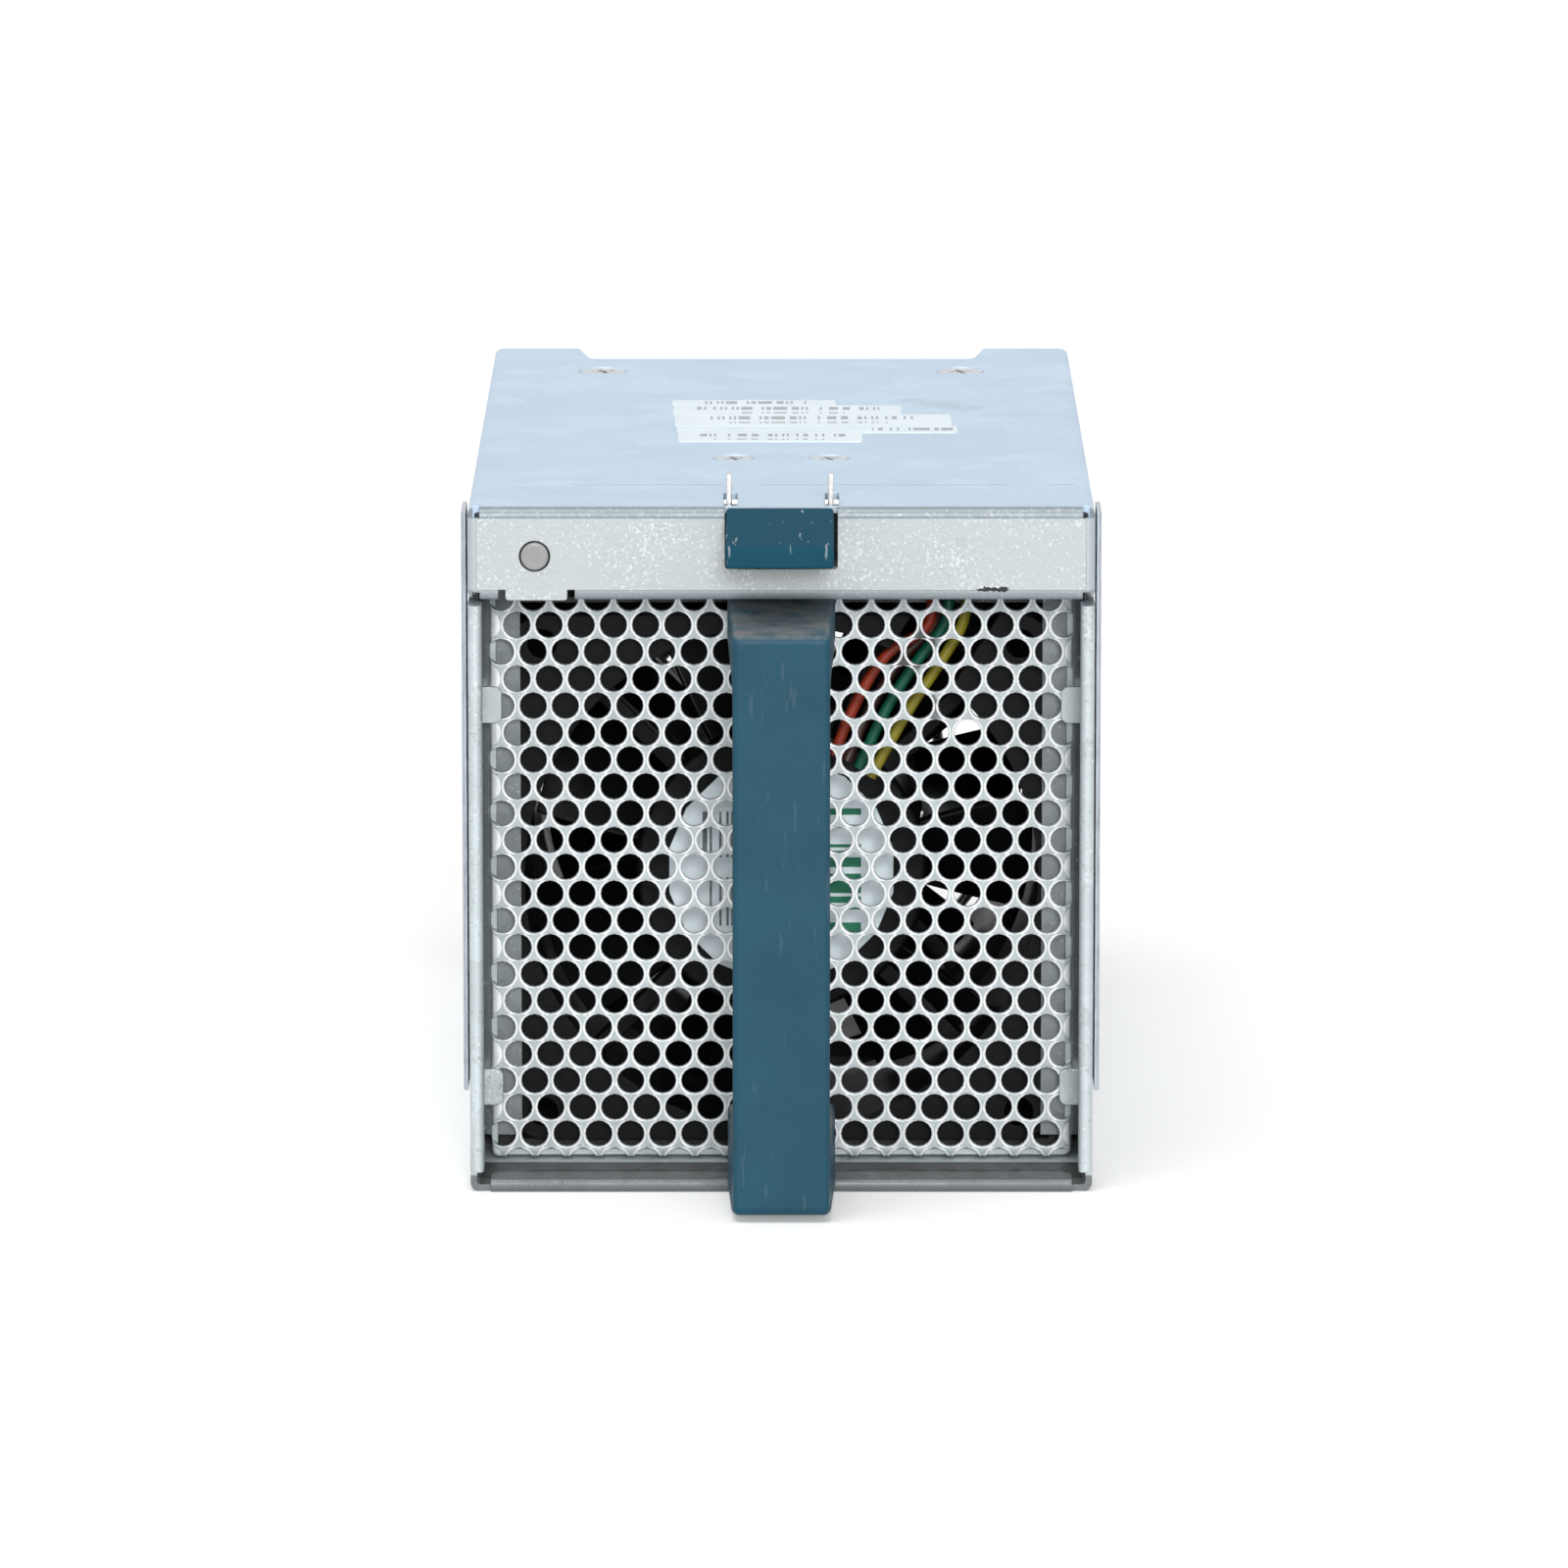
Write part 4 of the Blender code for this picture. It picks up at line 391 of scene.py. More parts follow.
def new_group(name, inputs, outputs):
    """Empty node group with float, colour or vector sockets."""
    tree = bpy.data.node_groups.new(name, "ShaderNodeTree")
    kinds = {"value": "NodeSocketFloat", "colour": "NodeSocketColor", "vector": "NodeSocketVector"}
    for label, kind, default in inputs:
        socket = tree.interface.new_socket(label, in_out="INPUT", socket_type=kinds[kind])
        if default is not None:
            socket.default_value = default
    for label, kind in outputs:
        tree.interface.new_socket(label, in_out="OUTPUT", socket_type=kinds[kind])
    return tree, tree.nodes.new("NodeGroupInput"), tree.nodes.new("NodeGroupOutput")


def zinc_mottle_group():
    """Patchy crystals of a zinc coat: a tone between two shades and a shallow relief."""
    tree, given, out = new_group(
        "Zinc Mottle",
        [("Vector", "vector", None), ("Patch Scale", "value", 160.0), ("Contrast", "value", 1.0)],
        [("Tone", "value"), ("Relief", "value")],
    )
    vector, size = given.outputs["Vector"], given.outputs["Patch Scale"]
    warp = shader_node(tree, "ShaderNodeTexNoise", {"Vector": vector, "Scale": times(tree, size, 1.7)})
    push = vector_step(tree, "MULTIPLY", warp.outputs["Color"], (0.004, 0.004, 0.004))
    bent = vector_step(tree, "ADD", vector, push.outputs[0])
    cells = shader_node(tree, "ShaderNodeTexVoronoi", {"Vector": bent.outputs[0], "Scale": size})
    shade = shader_node(tree, "ShaderNodeSeparateColor", {"Color": cells.outputs["Color"]}).outputs[0]
    cloud = noise(tree, vector, 42.0, 4.0, 0.6)
    fine = noise(tree, vector, 900.0, 2.0)
    tone = plus(tree, times(tree, shade, 0.35), times(tree, cloud, 0.65))
    tone = plus(tree, times(tree, tone, 0.8), times(tree, fine, 0.2))
    spread = times(tree, minus(tree, tone, 0.5), given.outputs["Contrast"])
    feed(tree, out.inputs["Tone"], plus(tree, times(tree, spread, 2.2), 0.5, clamp=True))
    relief = plus(tree, times(tree, shade, 0.3), times(tree, fine, 0.7))
    feed(tree, out.inputs["Relief"], relief)
    return tree


def speckle_group():
    """Small light and dark specks of dust, scratches and coating grain."""
    tree, given, out = new_group(
        "Speckle",
        [("Vector", "vector", None), ("Speck Scale", "value", 1500.0), ("Share", "value", 0.5)],
        [("Dark", "value"), ("Bright", "value"), ("Grain", "value")],
    )
    vector, size = given.outputs["Vector"], given.outputs["Speck Scale"]
    grain = noise(tree, vector, size, 2.0, 0.7)
    patches = noise(tree, vector, 120.0, 3.0, 0.6)
    level = minus(tree, 0.74, times(tree, given.outputs["Share"], 0.12))
    level = minus(tree, level, times(tree, minus(tree, patches, 0.5), 0.4))
    dark = ranged(tree, grain, level, plus(tree, level, 0.05))
    other = noise(tree, vector, times(tree, size, 0.83), 2.0, 0.7)
    bright = ranged(tree, other, level, plus(tree, level, 0.05))
    feed(tree, out.inputs["Dark"], dark)
    feed(tree, out.inputs["Bright"], bright)
    feed(tree, out.inputs["Grain"], grain)
    return tree


def edge_wear_and_highlight_group():
    """Mask along outer edges where a coat or a surface is rubbed; on the pull handle the same mask carries a
    painted highlight along its rounded edges.
    """
    tree, given, out = new_group(
        "Edge Wear",
        [("Vector", "vector", None), ("Width", "value", 0.0004), ("Breakup", "value", 900.0)],
        [("Wear", "value"), ("Soft Normal", "vector")],
    )
    rounded = shader_node(tree, "ShaderNodeBevel", {"Radius": given.outputs["Width"]}, samples=4)
    flat = shader_node(tree, "ShaderNodeNewGeometry")
    alike = vector_step(tree, "DOT_PRODUCT", rounded.outputs[0], flat.outputs["Normal"])
    turned = minus(tree, 1.0, alike.outputs["Value"])
    broken = noise(tree, given.outputs["Vector"], given.outputs["Breakup"], 3.0, 0.7)
    wear = times(tree, ranged(tree, turned, 0.01, 0.12), ranged(tree, broken, 0.38, 0.6), clamp=True)
    feed(tree, out.inputs["Wear"], wear)
    feed(tree, out.inputs["Soft Normal"], rounded.outputs[0])
    return tree


def dust_and_sheen_group():
    """Dust that settles on faces that look up, broken up by noise. On the pull handle its pale colour is
    dust together with a painted sheen of the light from above.
    """
    tree, given, out = new_group(
        "Settled Dust",
        [("Vector", "vector", None), ("Amount", "value", 0.5)],
        [("Dust", "value")],
    )
    normal = shader_node(tree, "ShaderNodeNewGeometry").outputs["Normal"]
    lying = ranged(tree, axes(tree, normal)[2], 0.35, 0.95)
    cloud = noise(tree, given.outputs["Vector"], 260.0, 4.0, 0.65)
    fall = times(tree, lying, ranged(tree, cloud, 0.3, 0.62))
    feed(tree, out.inputs["Dust"], times(tree, fall, given.outputs["Amount"], clamp=True))
    return tree


def group_node(tree, name, vector, **inputs):
    """Shared effect placed in a material with its own values."""
    made = tree.nodes.new("ShaderNodeGroup")
    made.node_tree = bpy.data.node_groups[name]
    feed(tree, made.inputs["Vector"], vector)
    for key, value in inputs.items():
        feed(tree, made.inputs[key.replace("_", " ").title()], value)
    return made


def start_finish(name, metallic=0.0, specular=0.5):
    """New material: its tree, its shader and the object coordinates."""
    made = bpy.data.materials.new(name)
    made.use_nodes = True
    tree = made.node_tree
    shader = tree.nodes["Principled BSDF"]
    shader.inputs["Metallic"].default_value = metallic
    shader.inputs["Specular IOR Level"].default_value = specular
    FINISHES[name] = made
    return tree, shader, tree.nodes.new("ShaderNodeTexCoord").outputs["Object"]


def bump(tree, shader, height, distance, soft=None):
    """Relief in metres, over the rounded edges when they are given."""
    inputs = {"Height": height, "Strength": 1.0, "Distance": distance}
    step = shader_node(tree, "ShaderNodeBump", inputs)
    if soft is not None:
        feed(tree, step.inputs["Normal"], soft)
    feed(tree, shader.inputs["Normal"], step.outputs["Normal"])


def shade(colour, factor):
    return tuple(min(1.0, part * factor) for part in colour)


def near_spot(tree, vector, centre, radius, soft=0.5):
    """Mask round one place in millimetres, softened and broken by noise."""
    middle = place(*centre)
    away = vector_step(tree, "DISTANCE", vector, tuple(middle))
    ragged = times(tree, minus(tree, noise(tree, vector, 700.0, 3.0), 0.5), radius * MM * 1.6)
    reach = plus(tree, away.outputs["Value"], ragged)
    return ranged(tree, reach, radius * MM * (1 - soft), radius * MM, 1.0, 0.0)


def zinc_finish(name, colour, contrast=1.0, metallic=0.35, rough=0.42, specks=0.5, patch=160.0, spots=()):
    """Zinc coated sheet: mottled tone, specks, bright rubbed edges, dark spots."""
    tree, shader, vector = start_finish(name, metallic)
    mottle = group_node(tree, "Zinc Mottle", vector, patch_scale=patch, contrast=contrast)
    speck = group_node(tree, "Speckle", vector, speck_scale=1700.0, share=specks)
    edge = group_node(tree, "Edge Wear", vector, width=0.00022, breakup=1200.0)
    tone = mixed(tree, mottle.outputs["Tone"], shade(colour, 0.86), shade(colour, 1.08))
    tone = painted(tree, speck.outputs["Dark"], 0.45, tone, shade(colour, 0.42))
    tone = painted(tree, speck.outputs["Bright"], 0.4, tone, (0.9, 0.92, 0.93))
    tone = painted(tree, edge.outputs["Wear"], 0.55, tone, (0.88, 0.9, 0.91))
    for centre, radius, dark, share in spots:
        mask = times(tree, near_spot(tree, vector, centre, radius), share)
        tone = mixed(tree, mask, tone, dark)
    feed(tree, shader.inputs["Base Color"], tone)
    grain = speck.outputs["Grain"]
    roughness = plus(tree, ranged(tree, mottle.outputs["Tone"], 0, 1, rough + 0.08, rough - 0.06),
                       ranged(tree, grain, 0.3, 0.7, -0.04, 0.06))
    feed(tree, shader.inputs["Roughness"], roughness)
    height = plus(tree, mottle.outputs["Relief"], times(tree, grain, 0.8))
    bump(tree, shader, height, 0.00003, edge.outputs["Soft Normal"])
    return tree, shader, vector


def moulded_finish(name, colour, rough=0.42, worn=None, dust_and_sheen_colour=None, dust=0.0, scratches=0.0, specular=0.5):
    """Moulded plastic: fine texture, slight unevenness, pale rubbed edges and dust. On the pull handle the
    pale edges are also a painted highlight, and the dust is also a painted sheen on faces that look up.
    """
    tree, shader, vector = start_finish(name, 0.0, specular)
    cloud = noise(tree, vector, 70.0, 4.0, 0.6)
    grain = noise(tree, vector, 2600.0, 2.0, 0.6)
    edge = group_node(tree, "Edge Wear", vector, width=0.0003, breakup=800.0)
    tone = mixed(tree, ranged(tree, cloud, 0.3, 0.7), shade(colour, 0.88), shade(colour, 1.12))
    tone = painted(tree, ranged(tree, grain, 0.55, 0.75), 0.25, tone, shade(colour, 1.5))
    # Pale edges: rubbed wear, and on the pull handle a painted highlight along its rounded edges
    tone = painted(tree, edge.outputs["Wear"], 0.5, tone, worn or shade(colour, 2.0))
    # Pale colour on faces that look up: dust, and on the pull handle a painted sheen of the light from above
    if dust:
        dust_and_sheen = group_node(tree, "Settled Dust", vector, amount=dust)
        tone = mixed(tree, dust_and_sheen.outputs["Dust"], tone, dust_and_sheen_colour)
    if scratches:
        lie = {"Vector": vector, "Scale": (1.0, 0.25, 0.12), "Rotation": (0.2, 0.5, 0.3)}
        stretched = shader_node(tree, "ShaderNodeMapping", lie)
        lines = ranged(tree, noise(tree, stretched.outputs[0], 900.0, 2.0), 0.66, 0.7)
        tone = painted(tree, lines, scratches, tone, (0.55, 0.6, 0.62))
    feed(tree, shader.inputs["Base Color"], tone)
    feed(tree, shader.inputs["Roughness"], ranged(tree, cloud, 0.3, 0.7, rough - 0.05, rough + 0.08))
    bump(tree, shader, grain, 0.000025, edge.outputs["Soft Normal"])
    return tree, shader, vector


def metal_finish(name, colour, rough=0.3, dark=0.5, brushed=(1.0, 1.0, 1.0), stain=None):
    """Bare or plated metal: brushed grain, stains, bright edges and painted shade in crevices and recesses.
    """
    tree, shader, vector = start_finish(name, 1.0)
    drawn = shader_node(tree, "ShaderNodeMapping", {"Vector": vector, "Scale": brushed})
    grain = noise(tree, drawn.outputs[0], 2400.0, 3.0, 0.6)
    cloud = noise(tree, vector, 190.0, 4.0, 0.65)
    edge = group_node(tree, "Edge Wear", vector, width=0.0002, breakup=1000.0)
    tone = mixed(tree, ranged(tree, grain, 0.35, 0.65), shade(colour, 0.85), shade(colour, 1.1))
    tone = painted(tree, ranged(tree, cloud, 0.5, 0.7), dark, tone, stain or shade(colour, 0.4))
    tone = painted(tree, edge.outputs["Wear"], 0.5, tone, (0.9, 0.9, 0.88))
    # Painted shade: darker where other surfaces stand close, as in screw recesses and crevices
    painted_crevice_shade = shader_node(tree, "ShaderNodeAmbientOcclusion", {"Distance": 0.0011}, samples=6)
    tone = mixed(tree, ranged(tree, painted_crevice_shade.outputs["AO"], 0.2, 0.6, 0.75, 0.0), tone, (0.05, 0.053, 0.056))
    feed(tree, shader.inputs["Base Color"], tone)
    feed(tree, shader.inputs["Roughness"], ranged(tree, cloud, 0.3, 0.7, rough - 0.06, rough + 0.14))
    bump(tree, shader, grain, 0.00002, edge.outputs["Soft Normal"])
    return tree, shader, vector


def leaf_finish():
    """Spring steel of the latch: silver barbs over the plate, painted shade where the leaf lies in the slots
    below the plate.
    """
    tree, shader, vector = metal_finish(
        "leaf_steel", (0.6, 0.6, 0.58), 0.32, 0.4, (1.0, 0.08, 1.0), (0.27, 0.24, 0.21)
    )
    # Painted shade: near black below the top plate, where the leaf lies in the slots
    painted_slot_shade = ranged(tree, axes(tree, vector)[2], 0.1008, 0.1014, 0.92, 0.0)
    feed(tree, shader.inputs["Base Color"], mixed(tree, painted_slot_shade, laid_tone(shader), (0.02, 0.02, 0.02)))


def banded(tree, position, start, end):
    """Mask between two values along one direction, with sharp ends."""
    above = worked(tree, "GREATER_THAN", position, start)
    below = worked(tree, "LESS_THAN", position, end)
    return times(tree, above, below)


def bar_rows(tree, across, along, rows, pitch, seed):
    """Rows of plain upright bars of uneven width, as a printed pattern without words. Rows are in
    millimetres (start, end, left, right)."""
    cell = worked(tree, "FLOOR", worked(tree, "DIVIDE", across, pitch))
    dice = shader_node(tree, "ShaderNodeTexWhiteNoise", {"W": plus(tree, cell, seed)}, noise_dimensions="1D")
    bars = worked(tree, "GREATER_THAN", dice.outputs["Value"], 0.45)
    mask = None
    for row in rows:
        start, end, left, right = (value * MM for value in row)
        band = times(tree, banded(tree, along, start, end), banded(tree, across, left, right))
        mask = band if mask is None else plus(tree, mask, band, clamp=True)
    return times(tree, bars, mask)


def paper_finish(
    name, centre, turn, rows, seed, ink=(0.12, 0.13, 0.14), share=0.7, upright=False, second=None
):
    """White paper label with rows of plain bars counted from its middle. An upright label stands across
    the depth, and a second set of rows runs the other way in its own colour."""
    tree, shader, vector = start_finish(name)
    middle = tuple(place(*centre))
    moved = vector_step(tree, "SUBTRACT", vector, middle)
    axis = (0, 1, 0) if upright else (0, 0, 1)
    inputs = {"Vector": moved.outputs[0], "Axis": axis, "Angle": math.radians(-turn)}
    turned = shader_node(tree, "ShaderNodeVectorRotate", inputs)
    across, back, up = axes(tree, turned.outputs[0])
    along = up if upright else back
    fibres = noise(tree, vector, 1400.0, 4.0, 0.7)
    cloud = noise(tree, vector, 110.0, 3.0)
    tone = mixed(tree, ranged(tree, cloud, 0.3, 0.7), (0.72, 0.81, 0.85), (0.8, 0.89, 0.93))
    tone = painted(tree, ranged(tree, fibres, 0.4, 0.7), 0.12, tone, (0.6, 0.66, 0.69))
    mask = bar_rows(tree, across, along, rows, 0.00036, seed)
    worn = times(tree, mask, ranged(tree, fibres, 0.35, 0.6, share * 0.8, share))
    tone = mixed(tree, worn, tone, ink)
    if second:
        colour, others = second
        tone = mixed(tree, bar_rows(tree, along, across, others, 0.0005, seed + 7.0), tone, colour)
    feed(tree, shader.inputs["Base Color"], tone)
    feed(tree, shader.inputs["Roughness"], ranged(tree, fibres, 0.3, 0.7, 0.5, 0.68))
    bump(tree, shader, fibres, 0.00001)


# Name, middle, size, turn, seed and rows of bars of each paper label
LABELS = (
    ("top_label_a", (-4.35, 103.4, 103.12), (25.5, 5.6), 0.6, 3.0, ((-1.3, 1.5, -8.0, 8.2),)),
    (
        "top_label_b",
        (0.9, 95.5, 103.14),
        (35.4, 10.1),
        -0.5,
        11.0,
        ((0.3, 3.3, -14.2, 14.3), (-3.4, -2.2, -7.0, 9.0)),
    ),
    (
        "top_label_c",
        (4.9, 85.2, 103.16),
        (42.7, 11.6),
        0.4,
        23.0,
        ((0.6, 3.8, -16.5, 15.5), (-3.2, -2.0, -13.0, 12.0)),
    ),
    ("top_label_d", (5.5, 76.0, 103.12), (43.0, 6.8), 0.0, 31.0, ((-1.2, 1.4, 8.4, 21.0),)),
    (
        "top_label_e",
        (-1.7, 68.1, 103.15),
        (28.2, 8.9),
        -0.4,
        43.0,
        ((0.3, 3.0, -11.3, 11.5), (-2.9, -1.9, -9.0, 9.0)),
    ),
)


def make_finishes(colours):
    """All materials of the module."""
    for make_group in (zinc_mottle_group, speckle_group, edge_wear_and_highlight_group, dust_and_sheen_group):
        make_group()
    blue, black = tuple(colours.blue_plastic), tuple(colours.black_plastic)
    cover_finish(colours)
    tray_finish(colours)
    # Painted shade: brackets and shelf inside the body take the tray's zinc darkened to 0.42
    zinc_finish("inner_zinc", shade(tuple(colours.tray_steel), 0.42), 1.4, 0.3, 0.4, 0.6)
    grille_finish(colours)
    # Pull handle: its pale edge colour is wear and a painted highlight; its pale colour on faces that look
    # up is dust and a painted sheen of the light from above
    moulded_finish("handle_blue", blue, 0.42, (0.12, 0.22, 0.26), (0.2, 0.195, 0.18), 0.8, 0.04, 0.2)
    moulded_finish("button_blue", blue, 0.6, (0.08, 0.17, 0.21), scratches=0.4, specular=0.05)
    moulded_finish("fan_black", black, 0.45, (0.03, 0.03, 0.03), specular=0.12)
    moulded_finish("blade_black", black, 0.35, (0.05, 0.05, 0.05), specular=0.3)
    moulded_finish("rubber_grey", (0.022, 0.022, 0.023), 0.75)
    moulded_finish("lens_grey", (0.29, 0.29, 0.295), 0.28, (0.6, 0.6, 0.6))
    for word in FRONT_LEADS:
        moulded_finish(f"lead_{word}", tuple(getattr(colours, f"lead_{word}")), 0.35)
    leaf_finish()
    metal_finish("screw_steel", (0.58, 0.62, 0.65), 0.36, 0.3)
    metal_finish("strip_steel", (0.45, 0.5, 0.56), 0.3, 0.4, (1.0, 1.0, 0.1))
    metal_finish("wire_steel", (0.55, 0.55, 0.54), 0.28, 0.4)
    metal_finish("wound_copper", (0.6, 0.26, 0.11), 0.35, 0.5, (1.0, 0.05, 1.0))
    metal_finish("contact_gold", (0.75, 0.55, 0.25), 0.28, 0.3)
    zinc_finish("ferrite_grey", (0.07, 0.07, 0.075), 1.0, 0.2, 0.6, 0.4)
    moulded_finish("board_green", (0.02, 0.11, 0.055), 0.4, (0.3, 0.25, 0.1))
    for name, centre, _, turn, seed, rows in LABELS:
        paper_finish(name, centre, turn, rows, seed)
    paper_finish(
        "motor_label",
        (0, FRONT_FAN + 6.7, FAN_CENTRE_Z),
        0,
        ((2.0, 9.0, -12.0, -2.5), (-8.5, -1.0, -11.0, -4.0)),
        5.0,
        ink=(0.02, 0.02, 0.02),
        share=0.9,
        upright=True,
        second=((0.0, 0.16, 0.08), ((2.0, 12.0, -9.5, 9.5),)),
    )


def tray_finish(colours):
    """Tray: pale rails and walls, painted shade on the sill at the foot of the front, painted shade in the
    gaps beside the grille.
    """
    tree, shader, vector = zinc_finish("tray_zinc", tuple(colours.tray_steel), 1.1, 0.3, 0.45, 1.0)
    across, setback, up = axes(tree, vector)
    # Painted shade: the sill's lowest band near the front, darkened
    low = ranged(tree, up, 0.0022, 0.0027, 1.0, 0.0)
    near = ranged(tree, setback, depth(6), depth(9), 0.8, 0.0)
    tone = painted(tree, low, near, laid_tone(shader), (0.05, 0.053, 0.053))
    # Painted shade: the inner faces of the walls between the rails and the grille, near black
    aside = worked(tree, "ABSOLUTE", across)
    inner = ranged(tree, aside, (HALF_WIDTH - 1.1) * MM, (HALF_WIDTH - 0.6) * MM, 1.0, 0.0)
    above = ranged(tree, up, 0.0007, 0.0009)
    behind = ranged(tree, setback, depth(5.1), depth(5.6))
    ahead = ranged(tree, setback, depth(16.2), depth(16.5), 1.0, 0.0)
    tone = painted(tree, times(tree, inner, above, behind, ahead), 0.92, tone, (0.03, 0.027, 0.024))
    feed(tree, shader.inputs["Base Color"], tone)


def row_shift(row):
    """How far across a row of holes stands: every second row is shifted by half a pitch."""
    return FIELD_ASIDE + (-HOLE_SHIFT if row % 2 else HOLE_SHIFT)


def rim_highlight_mask(tree, vector):
    """Mask of the painted highlight on the rims, worked out from the rows and columns of the punched holes.
    """
    across, setback, up = axes(tree, vector)
    up = minus(tree, up, FIRST_ROW * MM)
    row = worked(tree, "ROUND", worked(tree, "DIVIDE", up, ROW_PITCH * MM))
    odd = worked(tree, "ABSOLUTE", worked(tree, "MODULO", row, 2.0))
    across = minus(tree, across, ranged(tree, odd, 0.0, 1.0, row_shift(0) * MM, row_shift(1) * MM))
    column = plus(tree, worked(tree, "FLOOR", worked(tree, "DIVIDE", across, HOLE_PITCH * MM)), 0.5)
    aside = minus(tree, across, times(tree, column, HOLE_PITCH * MM))
    above = minus(tree, up, times(tree, row, ROW_PITCH * MM))
    away = worked(tree, "SQRT", plus(tree, times(tree, aside, aside), times(tree, above, above)))
    ring = ranged(tree, away, 0.00228, 0.00236, 1.0, 0.0)
    face = ranged(tree, setback, depth(GRILLE_FRONT + 0.25), depth(GRILLE_FRONT + 0.5), 1.0, 0.0)
    return times(tree, ring, face)


def grille_finish(colours):
    """Perforated front: pale webs, soot at the upper right and a painted highlight on the rolled rim round
    each hole.
    """
    soot = (0.012, 0.012, 0.013)
    spots = (
        ((18.3, GRILLE_FRONT, 76.0), 2.4, soot, 0.9),
        ((21.3, GRILLE_FRONT, 80.4), 2.6, soot, 0.9),
        ((22.7, GRILLE_FRONT, 70.2), 2.2, soot, 0.8),
        ((23.5, GRILLE_FRONT, 82.6), 2.0, soot, 0.9),
        ((20.0, GRILLE_FRONT, 77.6), 2.4, (0.05, 0.045, 0.04), 0.7),
    )
    tree, shader, vector = zinc_finish(
        "grille_zinc", tuple(colours.grille_steel), 1.1, 0.25, 0.42, 0.7, 160.0, spots
    )
    # Painted highlight: a near white ring on the rolled rim of each hole
    broken = ranged(tree, noise(tree, vector, 500.0, 3.0), 0.25, 0.6, 0.6, 1.0)
    mask = times(tree, rim_highlight_mask(tree, vector), broken)
    feed(tree, shader.inputs["Base Color"], mixed(tree, mask, laid_tone(shader), (0.93, 0.94, 0.95)))


def cover_finish(colours):
    """Top cover: bluish plate, painted shade on the bends, and a neutral peppered panel framed by thin dark
    seam lines with a painted shadow of the panel's edge.
    """
    smudge = (0.27, 0.33, 0.38)
    spots = (
        ((20.5, 106.5, BODY_HEIGHT), 3.2, smudge, 0.28),
        ((24.5, 102.5, BODY_HEIGHT), 4.6, smudge, 0.28),
        ((28.5, 98.5, BODY_HEIGHT), 4.2, smudge, 0.28),
    )
    bezel = tuple(colours.bezel_steel)
    tree, shader, vector = zinc_finish(
        "cover_zinc", tuple(colours.cover_steel), 0.5, 0.3, 0.42, 0.35, 130.0, spots
    )
    across, setback, up = axes(tree, vector)
    front = ranged(tree, setback, depth(0.4), depth(0.9), 1.0, 0.0)
    bend = ranged(tree, setback, depth(1.0), depth(1.7), 1.0, 0.0)

    def area(left, right, low, high, grown):
        wide = banded(tree, across, (left - grown) * MM, (right + grown) * MM)
        return times(tree, wide, banded(tree, up, (low - grown) * MM, (high + grown) * MM))

    def panel(grown):
        main = area(-PANEL_EDGE, PANEL_EDGE, PANEL_LOW, PANEL_HIGH, grown)
        tab = area(-40.7, -31.4, 89.3, PANEL_LOW + 0.5, grown)
        return worked(tree, "MAXIMUM", main, tab)

    inside = times(tree, panel(0.0), front)
    # Thin dark line round the panel: its seam and a painted shadow of the panel's edge
    line = times(tree, minus(tree, panel(0.17), panel(0.0)), front)
    peel = group_node(tree, "Speckle", vector, speck_scale=2200.0, share=1.2)
    plain = painted(tree, peel.outputs["Dark"], 0.3, bezel, (0.3, 0.33, 0.34))
    plain = painted(tree, peel.outputs["Bright"], 0.5, plain, (0.72, 0.76, 0.76))
    plain = painted(tree, near_spot(tree, vector, (26.3, 0, 98.0), 1.1), 0.3, plain, (0.33, 0.36, 0.38))
    # Painted shade: the bends above and below the panel darkened, less where the bright specks lie
    above = ranged(tree, up, PANEL_HIGH * MM, (PANEL_HIGH + 0.1) * MM, 0.0, 0.8)
    below = ranged(tree, up, (PANEL_LOW - 0.1) * MM, PANEL_LOW * MM, 0.5, 0.0)
    bend_shade = times(tree, bend, plus(tree, above, below))
    specks = ranged(tree, peel.outputs["Bright"], 0.0, 1.0, 1.0, 0.55)
    tone = painted(tree, bend, 0.85, laid_tone(shader), bezel)
    # Painted shade on the bends
    tone = painted(tree, bend_shade, specks, tone, (0.17, 0.21, 0.225))
    tone = mixed(tree, inside, tone, plain)
    # Painted shadow of the panel's edge, with the seam
    tone = painted(tree, line, 0.6, tone, (0.2, 0.22, 0.23))
    ragged = ranged(tree, noise(tree, vector, 800.0, 3.0), 0.3, 0.7, -0.0004, 0.0004)
    height = worked(tree, "ABSOLUTE", plus(tree, minus(tree, up, 0.09095), ragged))
    reach = worked(tree, "ABSOLUTE", minus(tree, across, 0.0311))
    chip = times(
        tree,
        ranged(tree, height, 0.00022, 0.0003, 1.0, 0.0),
        ranged(tree, reach, 0.0021, 0.0025, 1.0, 0.0),
        front,
    )
    tone = mixed(tree, chip, tone, (0.01, 0.01, 0.01))
    dashes = worked(tree, "GREATER_THAN", noise(tree, vector, 160.0, 1.0), 0.45)
    mark = times(
        tree,
        banded(tree, setback, depth(21.6), depth(22.5)),
        banded(tree, across, -0.0325, 0.044),
        dashes,
        0.4,
    )
    feed(tree, shader.inputs["Base Color"], mixed(tree, mark, tone, (0.2, 0.25, 0.3)))


# Pieces of sheet steel


